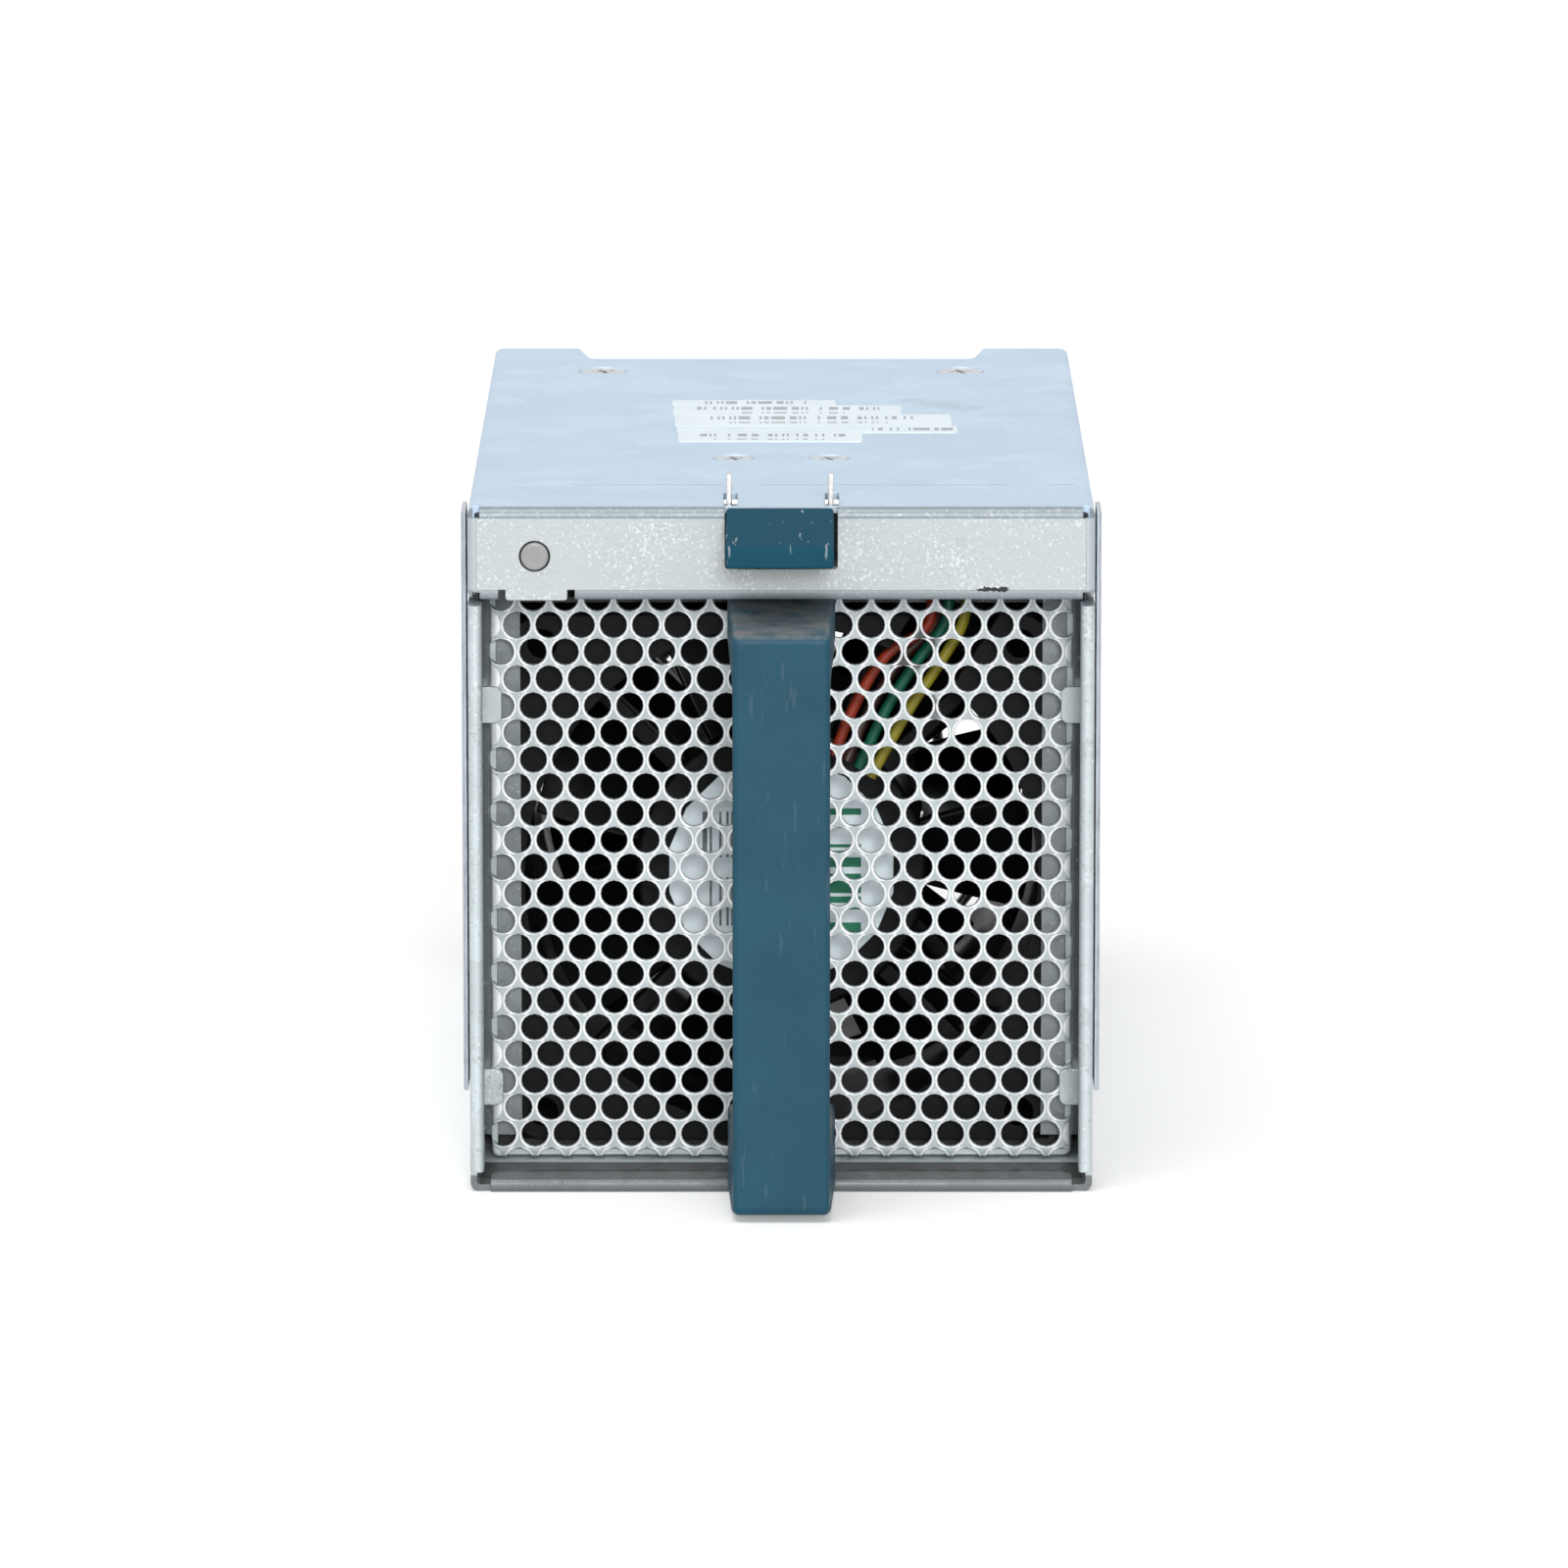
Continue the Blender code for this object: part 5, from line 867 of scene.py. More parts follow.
def make_tray(sizes):
    """Tray: folded floor and walls, hemmed rails and sill, lanced clips with their windows."""
    tray = block("tray_body", (-HALF_WIDTH, 1.0, 0), (HALF_WIDTH, BODY_DEPTH, WALL_TOP))
    bend = sizes.bend_radius / MM
    round_edges(tray, bend, 5, lambda a, b: a.z < MM / 10 and b.z < MM / 10 and abs(a.x - b.x) < MM)
    inside = block("tray_inside", (-HALF_WIDTH + 1, -1, 1), (HALF_WIDTH - 1, BODY_DEPTH + 1, WALL_TOP + 1))
    round_edges(inside, bend * 0.35, 3, lambda a, b: max(a.z, b.z) < 1.1 * MM and abs(a.x - b.x) < MM)
    carve(tray, inside)
    for side in (-1, 1):
        outer = side * HALF_WIDTH
        inner = side * (HALF_WIDTH - 2)
        low, high = sorted((outer, inner))
        rail = block("rail", (low, 0, 3.0), (high, 5.0, RAIL_TOP))
        front = depth(0.1)
        round_edges(rail, 0.85, 4, lambda a, b: max(a.y, b.y) < front and abs(a.x - b.x) < MM / 10)
        weld(tray, rail)
        low, high = sorted((side * (HALF_WIDTH + 1), side * (HALF_WIDTH - 3)))
        carve(tray, block("rail_notch", (low, -1, RAIL_TOP), (high, 10.3, WALL_TOP + 1)))
        for height in CLIP_HEIGHTS:
            tip = side * (HALF_WIDTH - 4.5)
            low, high = sorted((tip, side * (HALF_WIDTH - 0.5)))
            bottom, top = height - CLIP_HALF, height + CLIP_HALF
            clip = block("clip", (low, 16.7, bottom), (high, 17.7, top))
            end = tip * MM
            round_edges(
                clip, 1.1, 4, lambda a, b: max(abs(a.x - end), abs(b.x - end), abs(a.z - b.z)) < MM / 10
            )
            soften(clip, 0.15, 2)
            weld(tray, clip)
            low, high = sorted((side * (HALF_WIDTH + 1), side * (HALF_WIDTH - 2)))
            carve(tray, block("clip_window", (low, 18.0, bottom), (high, 22.3, top)))
    sill = block("sill", (-43.2, 0, 0), (43.2, 6.5, 2.0))
    back = depth(6.4)
    round_edges(sill, 2.6, 1, lambda a, b: min(a.y, b.y) > back and abs(a.x - b.x) < MM / 10)
    front = depth(0.1)
    round_edges(sill, 0.8, 4, lambda a, b: max(a.y, b.y) < front and abs(a.x - b.x) > MM)
    weld(tray, sill)
    settle(tray, "housing", "tray_zinc", "zinc_steel", "housing_tray")


def countersinks():
    """Cutters for the dimpled screw seats in the top plate."""
    made = []
    for _, x, setback, head in SCREW_SEATS:
        for side in (-1, 1):
            top = (side * x, setback, BODY_HEIGHT + 0.3)
            wide = head + 0.75
            made.append(rod("seat", top, (0, 0, -1), wide, wide - 0.75, 40, 0.75))
            made.append(rod("seat_hole", top, (0, 0, -1), 1.8, 5.0, 24))
    return made


def make_cover(sizes):
    """Top cover: plate, folded bezel with its return, flanges, reliefs, tab, slots and screw seats."""
    bend = sizes.bend_radius / MM
    cover = block("cover_sheet", (-HALF_WIDTH, 0, BEZEL_LOW), (HALF_WIDTH, BODY_DEPTH + 4, BODY_HEIGHT))
    soften(cover, bend, 5)
    inner = HALF_WIDTH - SHEET
    inside = block(
        "cover_inside", (-inner, SHEET, BEZEL_LOW + SHEET), (inner, BODY_DEPTH + 8, BODY_HEIGHT - SHEET)
    )
    carve(cover, soften(inside, bend * 0.35, 3))
    wide = HALF_WIDTH + 1
    carve(
        cover,
        block("rear_trim", (-wide, BODY_DEPTH, 88), (wide, BODY_DEPTH + 9, BODY_HEIGHT + 1)),
        block("underside", (-wide, 10, 88), (wide, BODY_DEPTH + 1, 90.9)),
    )
    for side in (-1, 1):
        low, high = sorted((side * 45.5, side * 44.4))
        edge = sorted((side * wide, side * 44.4))
        carve(
            cover,
            block("top_relief", (low, -1, BODY_HEIGHT - 1.6), (high, 2.2, BODY_HEIGHT + 1)),
            block("low_relief", (low, -1, 88), (high, 3.2, 90.4)),
            block("return_relief", (edge[0], 2.2, 88), (edge[1], 11, 90.9)),
        )
    carve(cover, block("tab_relief", (-41.7, -1, 88), (-30.4, 11, 90.8)))
    tab = block("tab", (-40.6, 0, BEZEL_LOW), (-31.5, SHEET, 91.8))
    round_edges(tab, 0.5, 3, lambda a, b: max(a.z, b.z) < 89.3 * MM and abs(a.x - b.x) < MM / 10)
    weld(cover, tab)
    notch = block("rear_notch", (-30.7, 151.4, 90.9), (30.7, BODY_DEPTH + 1, BODY_HEIGHT + 1))
    back = depth(BODY_DEPTH)
    for vertex in notch.data.vertices:
        if vertex.co.y > back:
            vertex.co.x *= 32.8 / 30.7
    round_edges(notch, 1.5, 4, lambda a, b: max(a.y, b.y) < back and abs(a.z - b.z) > MM)
    opening = block("latch_opening", (-8.3, -1, 93.9), (8.3, 1.4, BODY_HEIGHT + 1))
    round_edges(opening, 0.5, 3, lambda a, b: max(a.z, b.z) < 94 * MM and abs(a.x - b.x) < MM / 10)
    carve(cover, notch, opening)
    for side in (-1, 1):
        slot = block("barb_slot", (side * 7.5 - 1.025, 2.5, 101), (side * 7.5 + 1.025, 14.4, 104))
        soften(slot, 0.4, 3)
        carve(cover, slot)
    carve(cover, *countersinks(), rod("lens_hole", (LENS_ACROSS, -1, LENS_UP), (0, 1, 0), 2.3, 4, 48))
    settle(cover, "housing", "cover_zinc", "cover_steel", "top_cover")


def hole_places():
    """Across and up of every punched hole."""
    for row in range(HOLE_ROWS):
        for column in range(HOLE_COLUMNS):
            yield (column - HOLE_MIDDLE) * HOLE_PITCH + row_shift(row), FIRST_ROW + row * ROW_PITCH


def make_grille(sizes):
    """Perforated front: a shallow pan whose round holes run on through its bends, each with a rolled rim."""
    grille = block("front_screen", (-43.5, GRILLE_FRONT, 1.3), (43.5, 21.7, 91.6))
    pick(grille)
    bpy.context.tool_settings.mesh_select_mode = (False, False, True)
    bpy.ops.object.mode_set(mode="EDIT")
    bpy.ops.mesh.select_all(action="DESELECT")
    bpy.ops.object.mode_set(mode="OBJECT")
    for face in grille.data.polygons:
        face.select = face.normal.y > 0.5
    bpy.ops.object.mode_set(mode="EDIT")
    bpy.ops.mesh.delete(type="FACE")
    bpy.ops.object.mode_set(mode="OBJECT")
    soften(grille, 1.2, 4)
    apply_modifier(grille, "SOLIDIFY", thickness=0.9 * MM, offset=-1, use_even_offset=True)
    radius = sizes.hole_diameter / 2 / MM
    punch = rod("punch", (0, 17.0, 0), (0, 1, 0), radius, 3.3, 16)
    punches = []
    for x, z in hole_places():
        copy = punch.copy()
        copy.data = punch.data.copy()
        copy.location = Vector((x, 0, z)) * MM
        bpy.context.collection.objects.link(copy)
        punches.append(copy)
    bpy.data.objects.remove(punch)
    carve(grille, gather(punches, "punches"))
    front = depth(GRILLE_FRONT)
    reach = radius * 1.03 * MM

    def on_rim(first, second):
        if max(abs(first.y - front), abs(second.y - front)) > MM / 100:
            return False
        middle = (first + second) / 2
        row = round((middle.z / MM - FIRST_ROW) / ROW_PITCH)
        height = FIRST_ROW + row * ROW_PITCH
        shift = row_shift(row)
        column = round((middle.x / MM - shift) / HOLE_PITCH + HOLE_MIDDLE)
        across = (column - HOLE_MIDDLE) * HOLE_PITCH + shift
        if abs(across) > 40.0 or not 1 <= row < HOLE_ROWS:
            return False
        centre = Vector((across * MM, front, height * MM))
        return max((first - centre).length, (second - centre).length) < reach

    round_edges(grille, sizes.hole_rim / MM, 2, on_rim)
    settle(grille, "housing", "grille_zinc", "zinc_steel", "front_grille", angle=50)


def make_strips():
    """Contact strips on the walls, slit into spring fingers."""
    middle = (STRIP_INNER + STRIP_OUTER) / 2
    for side, hand in SIDES:
        near, far = sorted((side * STRIP_INNER, side * STRIP_OUTER))
        strip = block(f"contact_strip_{hand}", (near, 2.5, 15), (far, 12.5, 102))
        face = side * STRIP_OUTER * MM

        def upright_outside(a, b):
            return max(abs(a.x - face), abs(b.x - face)) < MM / 100 and abs(a.z - b.z) > MM

        round_edges(strip, 0.55, 3, upright_outside)
        slits = []
        for index in range(17):
            z = 20 + index * 4.8
            slits.append(block("slit", (side * middle - 1, 4.0, z), (side * middle + 1, 11.0, z + 0.5)))
        carve(strip, gather(slits, "slits"))
        settle(strip, "housing", "strip_steel", "bright_steel", f"side_gasket_{hand}")


# Moulded pieces


def make_handle(sizes):
    """Pull handle: a staple with a narrower bar, rounded all along, set on two feet."""
    handle = block("pull_handle", (-8.05, -HANDLE_PROUD, 1.0), (8.05, 17.7, 87.6))
    front = depth(0.1 - HANDLE_PROUD)
    round_edges(handle, 1.4, 4, lambda a, b: max(a.y, b.y) < front and abs(a.x - b.x) > MM)
    grip = block("grip", (-10, -15.0, 9.8), (10, 19, 80.4))
    inner = depth(-14.9)
    round_edges(grip, 6.0, 8, lambda a, b: max(a.y, b.y) < inner and abs(a.x - b.x) > MM)
    carve(handle, grip, block("foot_step", (-10, -1.0, 0), (10, 19, 2.6)))
    line = depth(0)
    narrow = 14.2 / 16.1 - 1
    for vertex in handle.data.vertices:
        share = min(1.0, max(0.0, (line - vertex.co.y) / (HANDLE_PROUD * MM) * 1.3))
        vertex.co.x *= 1 + narrow * share
    soften(handle, sizes.handle_round / MM, 4, 60)
    for x, z in ((-1.2, 4.98), (1.2, 82.5)):
        carve(handle, rod("bore", (x, 18.7, z), (0, -1, 0), 1.8, 10.5, 16))
    carve(handle, rod("vent", (-9, 4.0, 7.0), (1, 0, 0), 0.7, 3.0, 16))
    settle(handle, "housing", "handle_blue", "blue_plastic", "handle")


def wedge(name, left, right, corners):
    """Block whose side view has four given corners (setback, up), from the low front corner round."""
    made = block(name, (left, 0, 0), (right, 10, 10))
    middle = place(0, 5, 5)
    order = {(False, False): 0, (False, True): 1, (True, True): 2, (True, False): 3}
    for vertex in made.data.vertices:
        setback, up = corners[order[vertex.co.y > middle.y, vertex.co.z > middle.z]]
        target = place(0, setback, up)
        vertex.co.y = target.y
        vertex.co.z = target.z
    return made


def make_latch():
    """Latch button on the leaf spring's tongue, and the barbed leaf."""
    corners = ((-15.9, 96.5), (-15.9, 99.8), (0.8, 102.95), (-1.3, 97.9))
    button = wedge("push_button", -8.1, 7.7, corners)
    soften(button, 0.45, 3, 60)
    carve(button, block("tongue_socket", (-6.5, -8.3, 99.3), (6.1, 1, 100.65)))
    settle(button, "latch", "button_blue", "blue_plastic", "latch_button")
    leaf = block("leaf_tongue", (-6.2, -8.0, LEAF_LOW), (5.8, 44.2, LEAF_TOP))
    weld(leaf, soften(block("leaf_wide", (-7.7, 2.2, LEAF_LOW), (7.3, 14.0, LEAF_TOP)), 0.3, 2))
    shells = [leaf]
    for side in (-1, 1):
        middle = -0.2 + side * 7.5
        corners = ((3.4, 99.9), (3.4, 107.4), (5.0, 107.4), (13.4, 103.4))
        barb = wedge("barb", middle - 0.375, middle + 0.375, corners)
        foot = block("barb_foot", (middle - 0.375, 3.4, 99.9), (middle + 0.375, 13.4, 103.4))
        weld(barb, foot)
        shells.append(soften(barb, 0.12, 2))
    leaf = gather(shells, "leaf_tongue")
    settle(leaf, "latch", "leaf_steel", "bright_steel", "latch_spring")


def cross_recess(centre, axis, deep, size):
    """Cutters of a cross recess in a screw head that looks along an axis."""
    made = []
    x, setback, z = centre
    left, right = x - size / 2, x + size / 2
    for turn in (0, 90):
        if axis == "Z":
            cutter = block("recess", (left, setback - 0.4, z - deep), (right, setback + 0.4, z + 1))
            turn_about(cutter, centre, "Z", turn + 20)
        else:
            cutter = block("recess", (left, setback - deep, z - 0.4), (right, setback + 1, z + 0.4))
            turn_about(cutter, centre, "Y", turn + 30)
        made.append(cutter)
    return made


def make_screws():
    """Countersunk screws in the top plate and pan head screws on the finger guard."""
    for word, x, setback, head in SCREW_SEATS:
        for side, hand in SIDES:
            top = (side * x, setback, BODY_HEIGHT - 0.1)
            screw = rod(f"{word}_fastener_{hand}", top, (0, 0, -1), head, head - 1.5, 40, 1.5)
            weld(screw, rod("shank", (side * x, setback, 102), (0, 0, -1), 1.5, 4.1, 24))
            carve(screw, *cross_recess(top, "Z", 1.1, head * 1.1))
            settle(screw, "housing", "screw_steel", "bright_steel", f"{word}_screw_{hand}")
    high, low = FAN_CENTRE_Z + FAN_HOLE, FAN_CENTRE_Z - FAN_HOLE
    corners = ((FAN_HOLE, high), (-FAN_HOLE, high), (-FAN_HOLE, low), (FAN_HOLE, low))
    face = 128.2
    for index, (x, z) in enumerate(corners):
        screw = rod(f"guard_fastener_{index + 1}", (x, face - 2.0, z), (0, 1, 0), 3.2, 2.0, 32)
        tip = depth(face - 0.1)
        round_edges(screw, 0.9, 4, lambda a, b: min(a.y, b.y) > tip)
        weld(screw, rod("shank", (x, face - 1, z), (0, -1, 0), 1.5, 10.9, 20))
        carve(screw, *cross_recess((x, face, z), "Y", 1.2, 3.2))
        settle(screw, "housing", "screw_steel", "bright_steel", f"guard_screw_{index + 1}")


def make_status_light():
    """Domed end of the light pipe."""
    lens = rod("light_pipe", (LENS_ACROSS, -0.4, LENS_UP), (0, 1, 0), 2.05, 5.5, 48)
    front = depth(-0.3)
    round_edges(lens, 0.35, 4, lambda a, b: max(a.y, b.y) < front)
    settle(lens, "housing", "lens_grey", "lens", "status_lens")


# Fans, guard, leads and labels


def make_fans(sizes):
    """Both fan frames and impellers, modelled once for the front fan and copied to the rear."""
    start = FRONT_FAN
    centre = (0, start, FAN_CENTRE_Z)
    body = block("fan_body_front", (-40, start, 3), (40, start + 4, 83))
    round_edges(body, 4.0, 6, lambda a, b: abs(a.x - b.x) < MM / 10 and abs(a.z - b.z) < MM / 10)
    barrel = rod("barrel", (0, start + 2, FAN_CENTRE_Z), (0, 1, 0), 39.7, FAN_DEPTH - 4, 96)
    weld(body, twin(body, (0, FAN_DEPTH - 4, 0)), barrel)
    carve(body, rod("bore", (0, start - 1, FAN_CENTRE_Z), (0, 1, 0), BORE_RADIUS, FAN_DEPTH + 2, 96))
    for x in (-FAN_HOLE, FAN_HOLE):
        for z in (-FAN_HOLE, FAN_HOLE):
            carve(body, rod("hole", (x, start - 1, FAN_CENTRE_Z + z), (0, 1, 0), 2.2, FAN_DEPTH + 2, 20))
    slot = block("lead_slot", (37.5, start - 1, FAN_CENTRE_Z - 5.5), (80, start + 10.4, FAN_CENTRE_Z + 5.5))
    carve(body, turn_about(slot, centre, "Y", -57))
    base = rod("motor_base", (0, start + 6.8, FAN_CENTRE_Z), (0, 1, 0), 22, 2.5, 72)
    face = depth(start + 6.9)
    round_edges(base, 1.0, 4, lambda a, b: max(a.y, b.y) < face)
    for index in range(STRUT_COUNT):
        strut = block(
            "strut", (20.5, start + 8.0, FAN_CENTRE_Z - 1.3), (39.2, start + 11.8, FAN_CENTRE_Z + 1.3)
        )
        soften(strut, 0.4, 2)
        weld(base, turn_about(strut, centre, "Y", -45 - index * 90))
    weld(body, base, rod("bearing_tube", (0, start + 8, FAN_CENTRE_Z), (0, 1, 0), 5.4, 22, 32))
    rear = twin(body, (0, REAR_FAN - FRONT_FAN, 0), "fan_body_rear")
    settle(body, "housing", "fan_black", "black_plastic", "front_fan_frame")
    settle(rear, "housing", "fan_black", "black_plastic", "rear_fan_frame")
    hub = rod("wheel_front", (0, start + 12.2, FAN_CENTRE_Z), (0, 1, 0), 21.5, 22.3, 72)
    back = depth(start + 34.4)
    round_edges(hub, 1.5, 4, lambda a, b: min(a.y, b.y) > back)
    carve(hub, rod("hub_inside", (0, start + 11, FAN_CENTRE_Z), (0, 1, 0), 20.4, 21.9, 72))
    blades = [make_blade(sizes, centre, index * 360 / BLADE_COUNT) for index in range(BLADE_COUNT)]
    wheel = gather([hub] + blades, "wheel_front")
    other = twin(wheel, (0, REAR_FAN - FRONT_FAN, 0), "wheel_rear")
    settle(wheel, "front_rotor", "blade_black", "black_plastic", "front_impeller")
    settle(other, "rear_rotor", "blade_black", "black_plastic", "rear_impeller")


def make_blade(sizes, centre, angle):
    """One twisted, cambered blade from the hub to the tip."""
    bpy.ops.object.select_all(action="DESELECT")
    bpy.ops.mesh.primitive_grid_add(x_subdivisions=12, y_subdivisions=7, size=1)
    blade = bpy.context.object
    first, last = 20.9, 37.7
    chord = BLADE_LENGTH / math.sin(math.radians(BLADE_ROOT_ANGLE))
    for vertex in blade.data.vertices:
        station = vertex.co.x + 0.5
        share = vertex.co.y + 0.5
        radius = first + (last - first) * share
        pitch = math.radians(BLADE_ROOT_ANGLE + (BLADE_TIP_ANGLE - BLADE_ROOT_ANGLE) * share)
        along = (station - 0.5) * chord
        across = 0.09 * chord * math.sin(math.pi * station)
        axial = along * math.sin(pitch) - across * math.cos(pitch)
        around = (along * math.cos(pitch) + across * math.sin(pitch)) / radius
        x, z = radius * math.cos(around), centre[2] - radius * math.sin(around)
        vertex.co = place(x, centre[1] + 23.35 + axial, z)
    apply_modifier(blade, "SOLIDIFY", thickness=sizes.blade_thickness, offset=0)
    soften(blade, 0.3, 2, 60)
    return turn_about(blade, centre, "Y", angle)


def ring(name, centre, radius, wire):
    """Wire ring round the fan's axis."""
    bpy.ops.object.select_all(action="DESELECT")
    bpy.ops.mesh.primitive_torus_add(
        location=place(*centre),
        rotation=(math.pi / 2, 0, 0),
        major_segments=72,
        minor_segments=12,
        major_radius=radius * MM,
        minor_radius=wire * MM,
    )
    made = bpy.context.object
    made.name = name
    bpy.ops.object.transform_apply(location=True, rotation=True, scale=True)
    return made


def make_guard():
    """Finger guard of round wire with four spokes and screw eyes."""
    setback = 124.4
    parts = [ring("wire", (0, setback, FAN_CENTRE_Z), radius, 0.9) for radius in (13, 25, 37)]
    corner = FAN_HOLE * math.sqrt(2)
    for index in range(STRUT_COUNT):
        angle = 45 + 90 * index
        spoke = rod("spoke", (11.8, setback + 0.7, FAN_CENTRE_Z), (1, 0, 0), 0.75, corner - 14.3, 16)
        parts.append(turn_about(spoke, (0, setback, FAN_CENTRE_Z), "Y", -angle))
        x = corner * math.cos(math.radians(angle))
        z = FAN_CENTRE_Z + corner * math.sin(math.radians(angle))
        parts.append(ring("eye", (x, setback, z), 2.4, 0.8))
    guard = gather(parts, "wire_guard")
    settle(guard, "housing", "wire_steel", "bright_steel", "finger_guard", even=False)


# Course of each front lead across the fan as (across, up), how far it runs behind the face, and its row
FRONT_LEADS = {
    "red": (((7.9, 60.8), (10.9, 68.1), (15.9, 76.2), (21.9, 80.7)), 0, 1),
    "brown": (((9.8, 59.9), (13.2, 67.5), (18.3, 75.4), (23.2, 80.7)), 2.1, 0),
    "green": (((11.6, 58.8), (15.9, 68.1), (20.9, 75.9), (24.4, 80.7)), 0, 1),
    "yellow": (((13.4, 57.5), (19.0, 67.5), (24.8, 76.5), (27.1, 80.7)), 0, 0),
}


def make_leads(sizes):
    """The front fan's four leads and the sleeve of the rear fan's, led back to the connector."""
    for word, (course, behind, row) in FRONT_LEADS.items():
        route = [(x, LEAD_FACE + behind * share, z) for (x, z), share in zip(course, (0, 0.5, 1, 1))]
        x = route[-1][0] + 0.7
        high = SHELF_TOP + 1.15 + row * 2.1
        route += [
            (x, LEAD_FACE + behind, SHELF_TOP),
            (x, LEAD_FACE + behind + 1.7, high),
            (x, 43.5, high),
            (x - 9.5, 74.0, high),
            (x - 9.5, 122.0, high),
            (x - 19.0, 141.7, high + 5),
            (x - 19.0, LEAD_END, high + 5),
        ]
        wire = tube(f"fan_lead_{word}", [place(*point) for point in route], sizes.lead_radius)
        settle(wire, "housing", f"lead_{word}", f"{word}_lead", f"front_lead_{word}", even=False)
    angle = math.radians(57)
    route = [(r * math.cos(angle), 88.8, FAN_CENTRE_Z + r * math.sin(angle)) for r in (18.2, BORE_RADIUS)]
    route += [
        (25.5, 88.8, 83.0),
        (26.2, 90.5, 85.45),
        (26.2, 92.4, 86.3),
        (26.2, 122.0, 86.3),
        (12.5, 141.7, 88.2),
        (12.5, LEAD_END, 88.2),
    ]
    sleeve = tube("fan_sleeve_rear", [place(*point) for point in route], 1.9 * MM)
    settle(sleeve, "housing", "rubber_grey", "rubber", "rear_lead_sleeve", even=False)


def make_labels():
    """Paper labels on the top plate and on the front fan's motor base, without words."""
    for name, centre, (width, length), turn, *_ in LABELS:
        x, setback, z = centre
        near, far = setback - length / 2, setback + length / 2
        label = block(name, (x - width / 2, near, BODY_HEIGHT), (x + width / 2, far, z))
        round_edges(label, 0.5, 3, lambda a, b: abs(a.x - b.x) < MM / 100 and abs(a.y - b.y) < MM / 100)
        turn_about(label, centre, "Z", turn)
        settle(label, "housing", name, "cover_steel")
    disc = rod("motor_label", (0, FRONT_FAN + 6.65, FAN_CENTRE_Z), (0, 1, 0), 17.2, 0.15, 16)
    soften(disc, 0.05, 1)
    turn_about(disc, (0, FRONT_FAN, FAN_CENTRE_Z), "Y", 11.25)
    settle(disc, "housing", "motor_label", "black_plastic")


NODE_FINISHES = {
    "inner_zinc": (
        *(f"fan_bracket_{end}_{hand}" for end in ("front", "rear") for _, hand in SIDES),
        "fan_shelf",
        "connector_bracket",
    ),
    "leaf_steel": ("latch_base",),
    "screw_steel": ("handle_screw_lower", "handle_screw_upper"),
    "board_green": ("status_board",),
    "fan_black": ("board_stand", "rear_connector"),
    "contact_gold": ("connector_contacts",),
    "lens_grey": ("status_led",),
}
# These are in both fans, with front or rear before the name
FAN_NODE_FINISHES = {
    "screw_steel": ("shaft", "rotor_yoke", "bearing_near", "bearing_far"),
    "ferrite_grey": ("rotor_magnet", "stator_core"),
    "wound_copper": ("windings",),
    "board_green": ("motor_board",),
    "rubber_grey": ("fan_boot",),
}


def dress_nodes():
    """Give each carried-over node its finish."""
    pairs = [(name, surface) for surface, names in NODE_FINISHES.items() for name in names]
    for surface, names in FAN_NODE_FINISHES.items():
        pairs += [(f"{end}_{name}", surface) for name in names for end in ("front", "rear")]
    for name, surface in pairs:
        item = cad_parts[name]
        item.data.materials.clear()
        item.data.materials.append(FINISHES[surface])


# Stage, light and camera


def seen_rays(tree):
    """Mask of the rays that come from the camera, off glossy faces or through clear ones."""
    path = shader_node(tree, "ShaderNodeLightPath")
    seen = plus(tree, path.outputs["Is Camera Ray"], path.outputs["Is Glossy Ray"], clamp=True)
    return plus(tree, seen, path.outputs["Is Transmission Ray"], clamp=True)


def sun_lamp(name, direction, strength, width):
    """Wide soft sun that shines from a direction; the width is its angle in degrees."""
    light = bpy.data.lights.new(name, "SUN")
    light.energy = strength
    light.angle = math.radians(width)
    lamp = bpy.data.objects.new(name, light)
    bpy.context.collection.objects.link(lamp)
    lamp.location = Vector(direction).normalized() * 2
    lamp.rotation_euler = Vector(direction).to_track_quat("Z", "Y").to_euler()


def make_floor():
    """Pale floor that stays white to the eye and keeps the object's shadow."""
    bpy.ops.object.select_all(action="DESELECT")
    bpy.ops.mesh.primitive_plane_add(size=24, location=(0, 0, -0.00001))
    floor = bpy.context.object
    floor.name = "studio_floor"
    made = bpy.data.materials.new("studio_floor")
    made.use_nodes = True
    tree = made.node_tree
    shader = tree.nodes["Principled BSDF"]
    shader.inputs["Roughness"].default_value = 0.9
    shader.inputs["Specular IOR Level"].default_value = 0.1
    vector = tree.nodes.new("ShaderNodeTexCoord").outputs["Object"]
    tone = mixed(tree, noise(tree, vector, 30.0, 3.0), (0.84, 0.84, 0.84), (0.86, 0.86, 0.86))
    feed(tree, shader.inputs["Base Color"], tone)
    shader.inputs["Emission Color"].default_value = (1, 1, 1, 1)
    feed(tree, shader.inputs["Emission Strength"], times(tree, seen_rays(tree), 0.22))
    floor.data.materials.append(made)


def make_world():
    world = bpy.data.worlds.new("studio")
    world.use_nodes = True
    bpy.context.scene.world = world
    tree = world.node_tree
    background = tree.nodes["Background"]
    feed(tree, background.inputs["Color"], (1, 1, 1))
    feed(tree, background.inputs["Strength"], ranged(tree, seen_rays(tree), 0, 1, 0.4, 1.0))


def make_camera():
    lens = bpy.data.cameras.new("camera")
    lens.lens = 256.2
    lens.sensor_width = 36
    lens.clip_end = 100
    camera = bpy.data.objects.new("camera", lens)
    bpy.context.collection.objects.link(camera)
    camera.location = (0.0004, -1.7015, 0.362)
    camera.rotation_euler = (math.radians(79.5), 0, 0)
    bpy.context.scene.camera = camera


# Operators, panel and registration


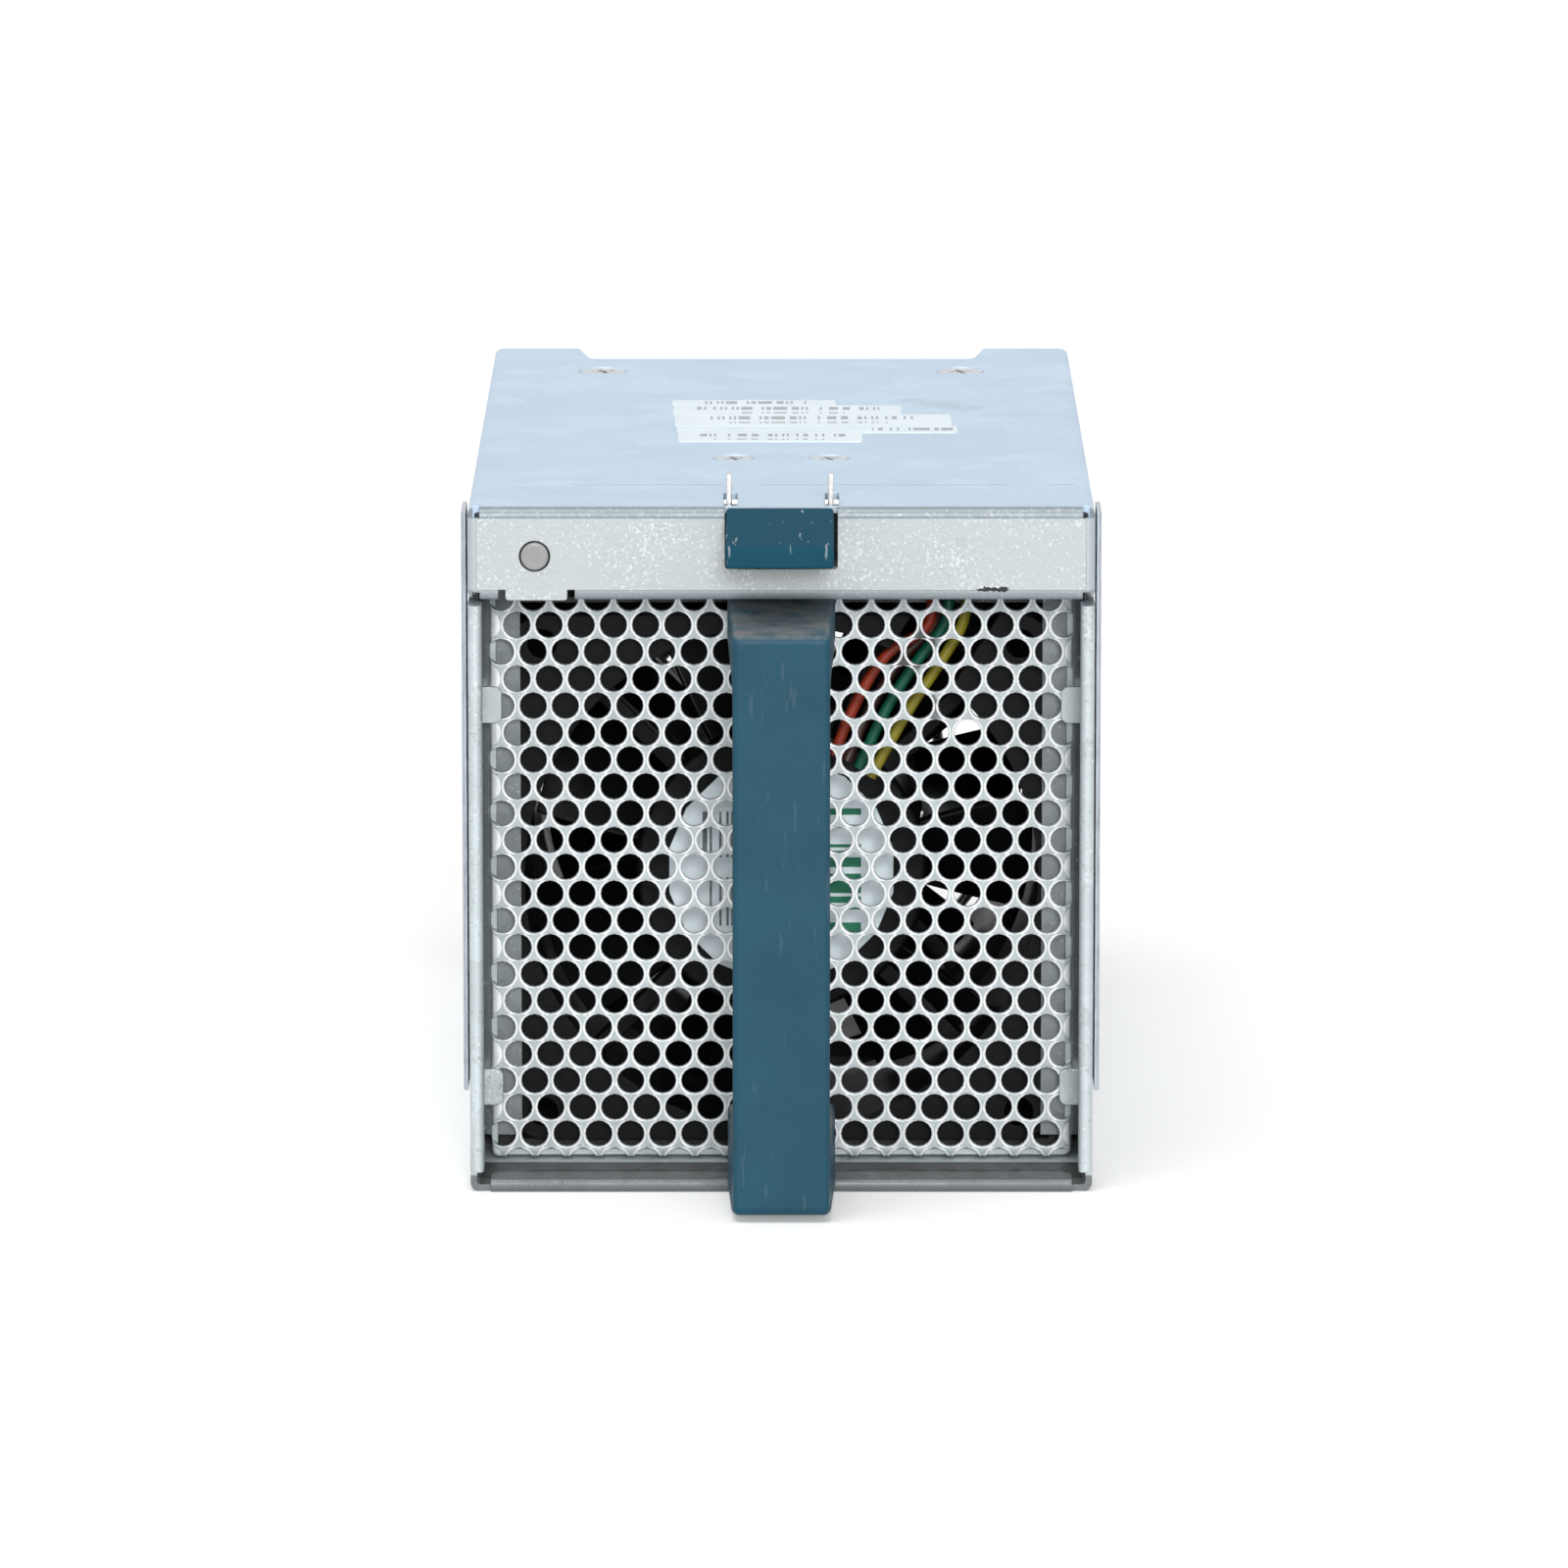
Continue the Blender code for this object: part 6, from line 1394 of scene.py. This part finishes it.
class FANMODULE_OT_finishes(bpy.types.Operator):
    """Build every material of the module"""

    bl_idname = "fan_module.finishes"
    bl_label = "Finishes"

    def execute(self, context):
        make_finishes(context.scene.module_colours)
        dress_nodes()
        return {"FINISHED"}


class FANMODULE_OT_tray(bpy.types.Operator):
    """Model the tray with its rails, sill and clips"""

    bl_idname = "fan_module.tray"
    bl_label = "Tray"

    def execute(self, context):
        make_tray(context.scene.module_sizes)
        return {"FINISHED"}


class FANMODULE_OT_cover(bpy.types.Operator):
    """Model the top cover with its bezel"""

    bl_idname = "fan_module.cover"
    bl_label = "Top Cover"

    def execute(self, context):
        make_cover(context.scene.module_sizes)
        return {"FINISHED"}


class FANMODULE_OT_grille(bpy.types.Operator):
    """Model the perforated front"""

    bl_idname = "fan_module.grille"
    bl_label = "Front Grille"

    def execute(self, context):
        make_grille(context.scene.module_sizes)
        return {"FINISHED"}


class FANMODULE_OT_strips(bpy.types.Operator):
    """Model the contact strips on the walls"""

    bl_idname = "fan_module.strips"
    bl_label = "Contact Strips"

    def execute(self, context):
        make_strips()
        return {"FINISHED"}


class FANMODULE_OT_handle(bpy.types.Operator):
    """Model the pull handle"""

    bl_idname = "fan_module.handle"
    bl_label = "Pull Handle"

    def execute(self, context):
        make_handle(context.scene.module_sizes)
        return {"FINISHED"}


class FANMODULE_OT_latch(bpy.types.Operator):
    """Model the latch button and the barbed leaf"""

    bl_idname = "fan_module.latch"
    bl_label = "Latch"

    def execute(self, context):
        make_latch()
        return {"FINISHED"}


class FANMODULE_OT_fasteners(bpy.types.Operator):
    """Model the visible screws and the status light pipe"""

    bl_idname = "fan_module.fasteners"
    bl_label = "Screws and Light Pipe"

    def execute(self, context):
        make_screws()
        make_status_light()
        return {"FINISHED"}


class FANMODULE_OT_fans(bpy.types.Operator):
    """Model both fans and the finger guard"""

    bl_idname = "fan_module.fans"
    bl_label = "Fans and Guard"

    def execute(self, context):
        make_fans(context.scene.module_sizes)
        make_guard()
        return {"FINISHED"}


class FANMODULE_OT_leads(bpy.types.Operator):
    """Lay the fan leads"""

    bl_idname = "fan_module.leads"
    bl_label = "Leads"

    def execute(self, context):
        make_leads(context.scene.module_sizes)
        return {"FINISHED"}


class FANMODULE_OT_labels(bpy.types.Operator):
    """Lay the paper labels, without words"""

    bl_idname = "fan_module.labels"
    bl_label = "Paper Labels"

    def execute(self, context):
        make_labels()
        return {"FINISHED"}


class FANMODULE_OT_stage(bpy.types.Operator):
    """Set up the floor, the light and the camera"""

    bl_idname = "fan_module.stage"
    bl_label = "Stage"

    def execute(self, context):
        make_camera()
        make_floor()
        make_world()
        sun_lamp("key_lamp", (-0.12, -0.3, 0.95), 1.55, 40)
        sun_lamp("front_lamp", (0.06, -0.96, 0.26), 1.8, 14)
        context.scene.view_settings.view_transform = "Standard"
        return {"FINISHED"}


OPERATORS = (
    FANMODULE_OT_finishes,
    FANMODULE_OT_stage,
    FANMODULE_OT_tray,
    FANMODULE_OT_cover,
    FANMODULE_OT_grille,
    FANMODULE_OT_strips,
    FANMODULE_OT_handle,
    FANMODULE_OT_latch,
    FANMODULE_OT_fasteners,
    FANMODULE_OT_fans,
    FANMODULE_OT_leads,
    FANMODULE_OT_labels,
)


class FANMODULE_PT_panel(bpy.types.Panel):
    """Buttons and values of the fan module"""

    bl_label = "Fan Module"
    bl_idname = "FANMODULE_PT_panel"
    bl_space_type = "VIEW_3D"
    bl_region_type = "UI"
    bl_category = "Fan Module"

    def draw(self, context):
        column = self.layout.column()
        for group in (context.scene.module_sizes, context.scene.module_colours):
            for key in group.bl_rna.properties.keys():
                if key not in ("rna_type", "name"):
                    column.prop(group, key)
        for operator in OPERATORS:
            column.operator(operator.bl_idname)


CLASSES = (ModuleSizes, ModuleColours, *OPERATORS, FANMODULE_PT_panel)


def register():
    for item in CLASSES:
        bpy.utils.register_class(item)
    bpy.types.Scene.module_sizes = bpy.props.PointerProperty(type=ModuleSizes)
    bpy.types.Scene.module_colours = bpy.props.PointerProperty(type=ModuleColours)


def unregister():
    del bpy.types.Scene.module_colours
    del bpy.types.Scene.module_sizes
    for item in reversed(CLASSES):
        bpy.utils.unregister_class(item)


def main():
    register()
    for operator in OPERATORS:
        group, name = operator.bl_idname.split(".")
        getattr(getattr(bpy.ops, group), name)()
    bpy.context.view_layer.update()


if __name__ == "__main__":
    main()
